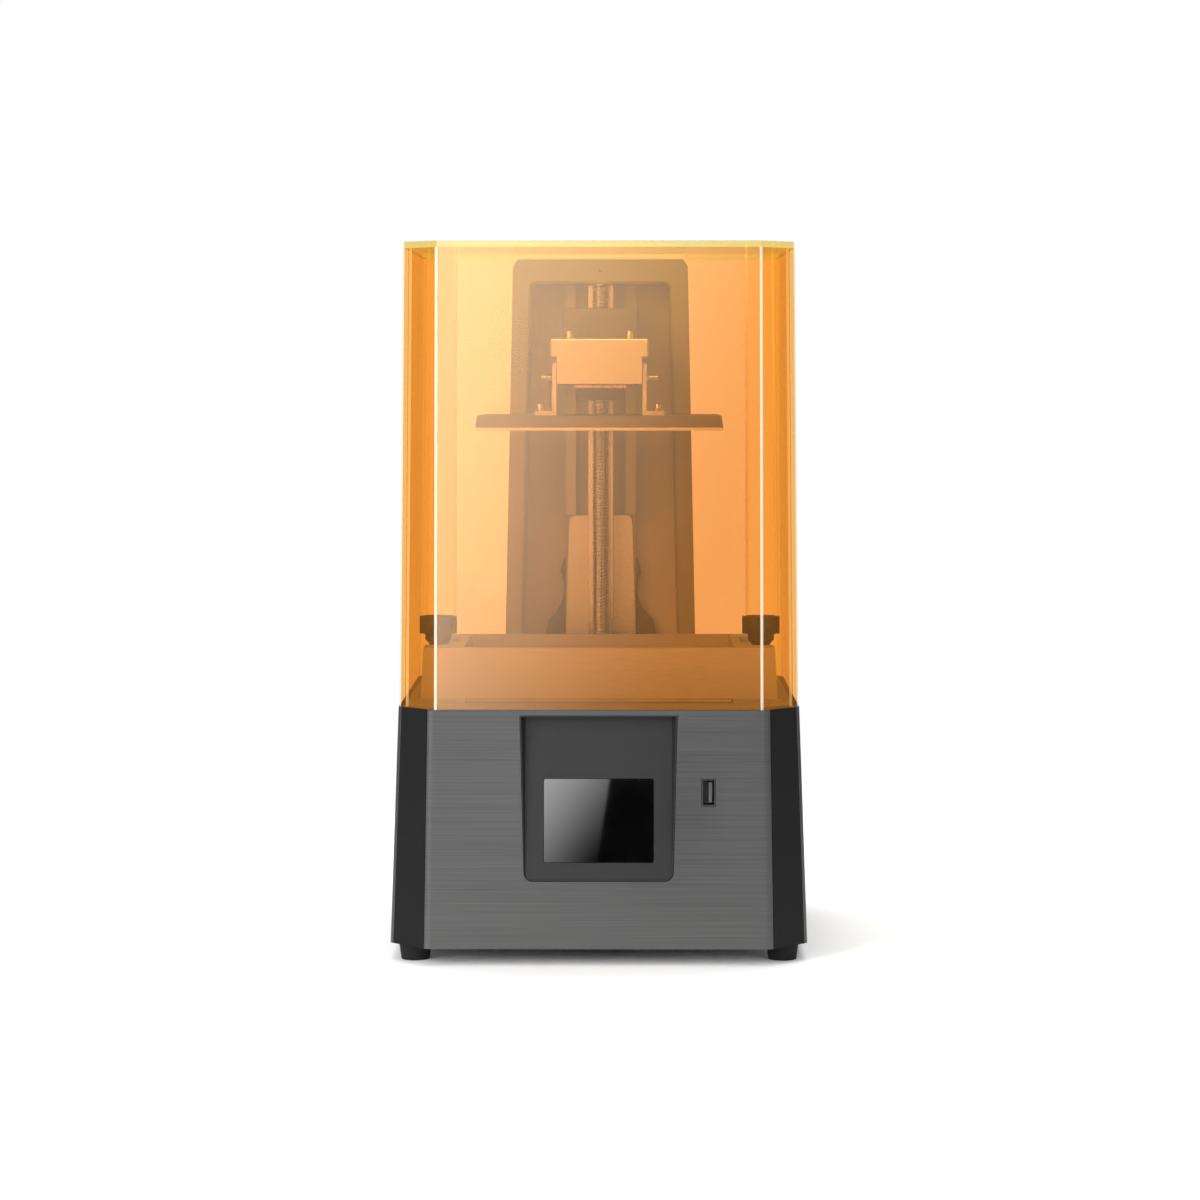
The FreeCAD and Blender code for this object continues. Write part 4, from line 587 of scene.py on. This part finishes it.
# %% World and floor
def white_of(tree, level):
    """Even white background."""
    plain = tree.nodes.new("ShaderNodeBackground")
    plain.inputs["Color"].default_value = (1.0, 1.0, 1.0, 1.0)
    plain.inputs["Strength"].default_value = level
    return plain.outputs["Background"]


def white_world(seen, mirrored, felt):
    """World with one level for the camera, one for mirror-like rays and one for all other light."""
    world = bpy.data.worlds.new("studio")
    bpy.context.scene.world = world
    world.use_nodes = True
    tree = world.node_tree
    tree.nodes.remove(tree.nodes["Background"])
    path = tree.nodes.new("ShaderNodeLightPath")
    mixed = white_of(tree, felt)
    for ray, level in (("Is Glossy Ray", mirrored), ("Is Camera Ray", seen)):
        mixed = mix_of(tree, path.outputs[ray], mixed, white_of(tree, level))
    tree.links.new(mixed, tree.nodes["World Output"].inputs["Surface"])


def fading_floor(near, far):
    """Pale matt floor that turns clear between two distances from the object, so that no horizon shows."""
    material = surface("pale_floor", grey(0.88), grey(0.92), (3.0, 3.0, 3.0), (0.6, 0.7))
    tree = material.node_tree
    distance = vector_step(tree, "LENGTH", place_of(tree))["Value"]
    fade = range_of(tree, distance, 0.0, 1.0, near, far, smooth=True)
    clear = tree.nodes.new("ShaderNodeBsdfTransparent")
    show(tree, mix_of(tree, fade, tree.nodes["Principled BSDF"].outputs["BSDF"], clear.outputs["BSDF"]))
    return material


white_world(1.0, 0.22, 0.7)
deselect()
bpy.ops.mesh.primitive_plane_add(size=4.0, location=(0.0, 0.0, cad_low[2] - 0.0002))
floor = bpy.context.object
floor.name = "floor"
floor.data.materials.append(fading_floor(0.25, 0.9))
print("world and floor ready")

# %% [markdown]
# ## Lights
#
# A few large soft lights stand round the machine, the strongest at the front left. Only the key and the
# top light may be mirrored; the others would show as hard patches on the cover.


# %% Lights
def soft_light(name, spot, aim, width, height, power, mirrored=True):
    """Area light that can be kept out of reflections."""
    deselect()
    bpy.ops.object.light_add(type="AREA", location=spot)
    lamp = bpy.context.object
    lamp.name = name
    lamp.data.shape = "RECTANGLE"
    lamp.data.size = width
    lamp.data.size_y = height
    lamp.data.energy = power
    lamp.visible_glossy = mirrored
    direction = [a - s for a, s in zip(aim, spot)]
    flat = math.hypot(direction[0], direction[1])
    lamp.rotation_euler = (math.atan2(flat, -direction[2]), 0.0, math.atan2(-direction[0], direction[1]))


MIDDLE = (0.0, 0.0, 0.22)
soft_light("key", (-1.3, -1.5, 1.1), MIDDLE, 0.8, 1.4, 30.0)
soft_light("fill", (1.5, -1.2, 0.7), MIDDLE, 0.8, 1.2, 7.0, mirrored=False)
soft_light("top", (0.0, 0.2, 1.7), MIDDLE, 1.4, 1.4, 17.0)
soft_light("back", (0.0, 1.6, 0.7), MIDDLE, 1.6, 1.2, 18.0, mirrored=False)
soft_light("front", (-0.3, -2.4, 0.9), MIDDLE, 1.2, 0.8, 20.0, mirrored=False)

# %% [markdown]
# ## Reflection cards
#
# In the photograph the left of the cover's face is veiled by a pale reflection that dies away to the
# right, the front panel's bent edges shine, and a slanted bright field lies on the left of the display. A
# studio makes these with cards that only the shiny surfaces show. Each card here glows with a fade along
# one direction, and only mirror-like rays see it, so it adds no light elsewhere.


# %% Card helpers
def fading_glow(name, strength, direction, full, none):
    """Glow that falls from its strength to nothing as the place along a direction goes from full to none."""
    material, tree = bare_material(name)
    along = vector_step(tree, "DOT_PRODUCT", place_of(tree), direction)["Value"]
    glow = tree.nodes.new("ShaderNodeEmission")
    tree.links.new(range_of(tree, along, strength, 0.0, full, none, smooth=True), glow.inputs["Strength"])
    show(tree, glow.outputs["Emission"])
    return material


def reflection_card(name, middle, width, height, turn, material):
    """Upright card about a middle point, turned about the vertical, that only mirror-like rays see."""
    deselect()
    bpy.ops.mesh.primitive_plane_add(size=1.0, location=middle, rotation=(math.pi / 2, 0.0, turn))
    card = bpy.context.object
    card.scale = (width, height, 1.0)
    bpy.ops.object.transform_apply(location=False, rotation=True, scale=True)
    card.name = name
    card.data.materials.append(material)
    card.visible_camera = False
    card.visible_diffuse = False
    card.visible_shadow = False
    card.visible_transmission = False
    return card


print("card helpers ready")

# %% [markdown]
# ## Veil and edge cards
#
# The veil is a card straight in front, beyond the camera. The two edge cards stand at the front corners,
# the left one stronger, and fade downwards so that no hard line shows on the cover's walls.

# %% Veil and edge cards
EDGE_TURN = math.radians(43.5)
EDGE_AWAY = 1.7
veil = fading_glow("veil_glow", 8.0, (1.0, 0.0, -0.37), -0.4, 0.2)
reflection_card("veil_card", (0.0, -2.6, 0.22), 0.6, 0.76, 0.0, veil)
for side, strength in ((-1, 4.0), (1, 1.5)):
    glow = fading_glow("edge_glow", strength, (0.0, 0.0, -1.0), -0.2, 0.33)
    spot = (side * EDGE_AWAY * math.sin(EDGE_TURN), -EDGE_AWAY * math.cos(EDGE_TURN), 0.25)
    reflection_card("edge_card", spot, 2.05, 0.7, side * EDGE_TURN, glow)
print("veil and edge cards ready")

# %% [markdown]
# ## Display card and flag
#
# The display leans back, so it mirrors a small field about a hand's length in front of the machine. A
# card there glows from its upper left, and its right edge leans as the field in the photograph does. A
# black flag just behind the card keeps everything else out of the glass.

# %% Display card and flag
FIELD_AWAY = 0.2
FIELD_TALL = 0.059
FIELD_MIDDLE = 0.0955
mirror_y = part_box("touch_screen")[0][1] - FIELD_AWAY
display_glow = fading_glow("display_glow", 5.0, (1.0, 0.0, -0.75), -0.056, 0.04)
display_card = reflection_card("display_card", (-0.0193, mirror_y, FIELD_MIDDLE), 0.0414, FIELD_TALL, 0.0,
                               display_glow)
for corner in display_card.data.vertices:
    if corner.co.x > 0.0:
        corner.co.x += 0.15 * corner.co.z
flag_black = fading_glow("flag_black", 0.0, (1.0, 0.0, 0.0), -1.0, 1.0)
reflection_card("display_flag", (0.0, mirror_y - 0.002, FIELD_MIDDLE), 0.09, FIELD_TALL, 0.0, flag_black)
print("display card and flag ready")

# %% [markdown]
# ## Camera
#
# The edges of the base and the cover in the photograph give a camera about 1.95 m in front, just right of
# the middle, a little below the top of the cover and looking slightly down.

# %% Camera
deselect()
bpy.ops.object.camera_add(location=(0.012, -1.9525, 0.3326),
                          rotation=(math.radians(90.0 - 3.97), 0.0, math.radians(0.35)))
camera = bpy.context.object
camera.data.lens = 99.4
camera.data.sensor_width = 36.0
bpy.context.scene.camera = camera
bpy.context.scene.view_settings.view_transform = "Standard"
print("camera set")
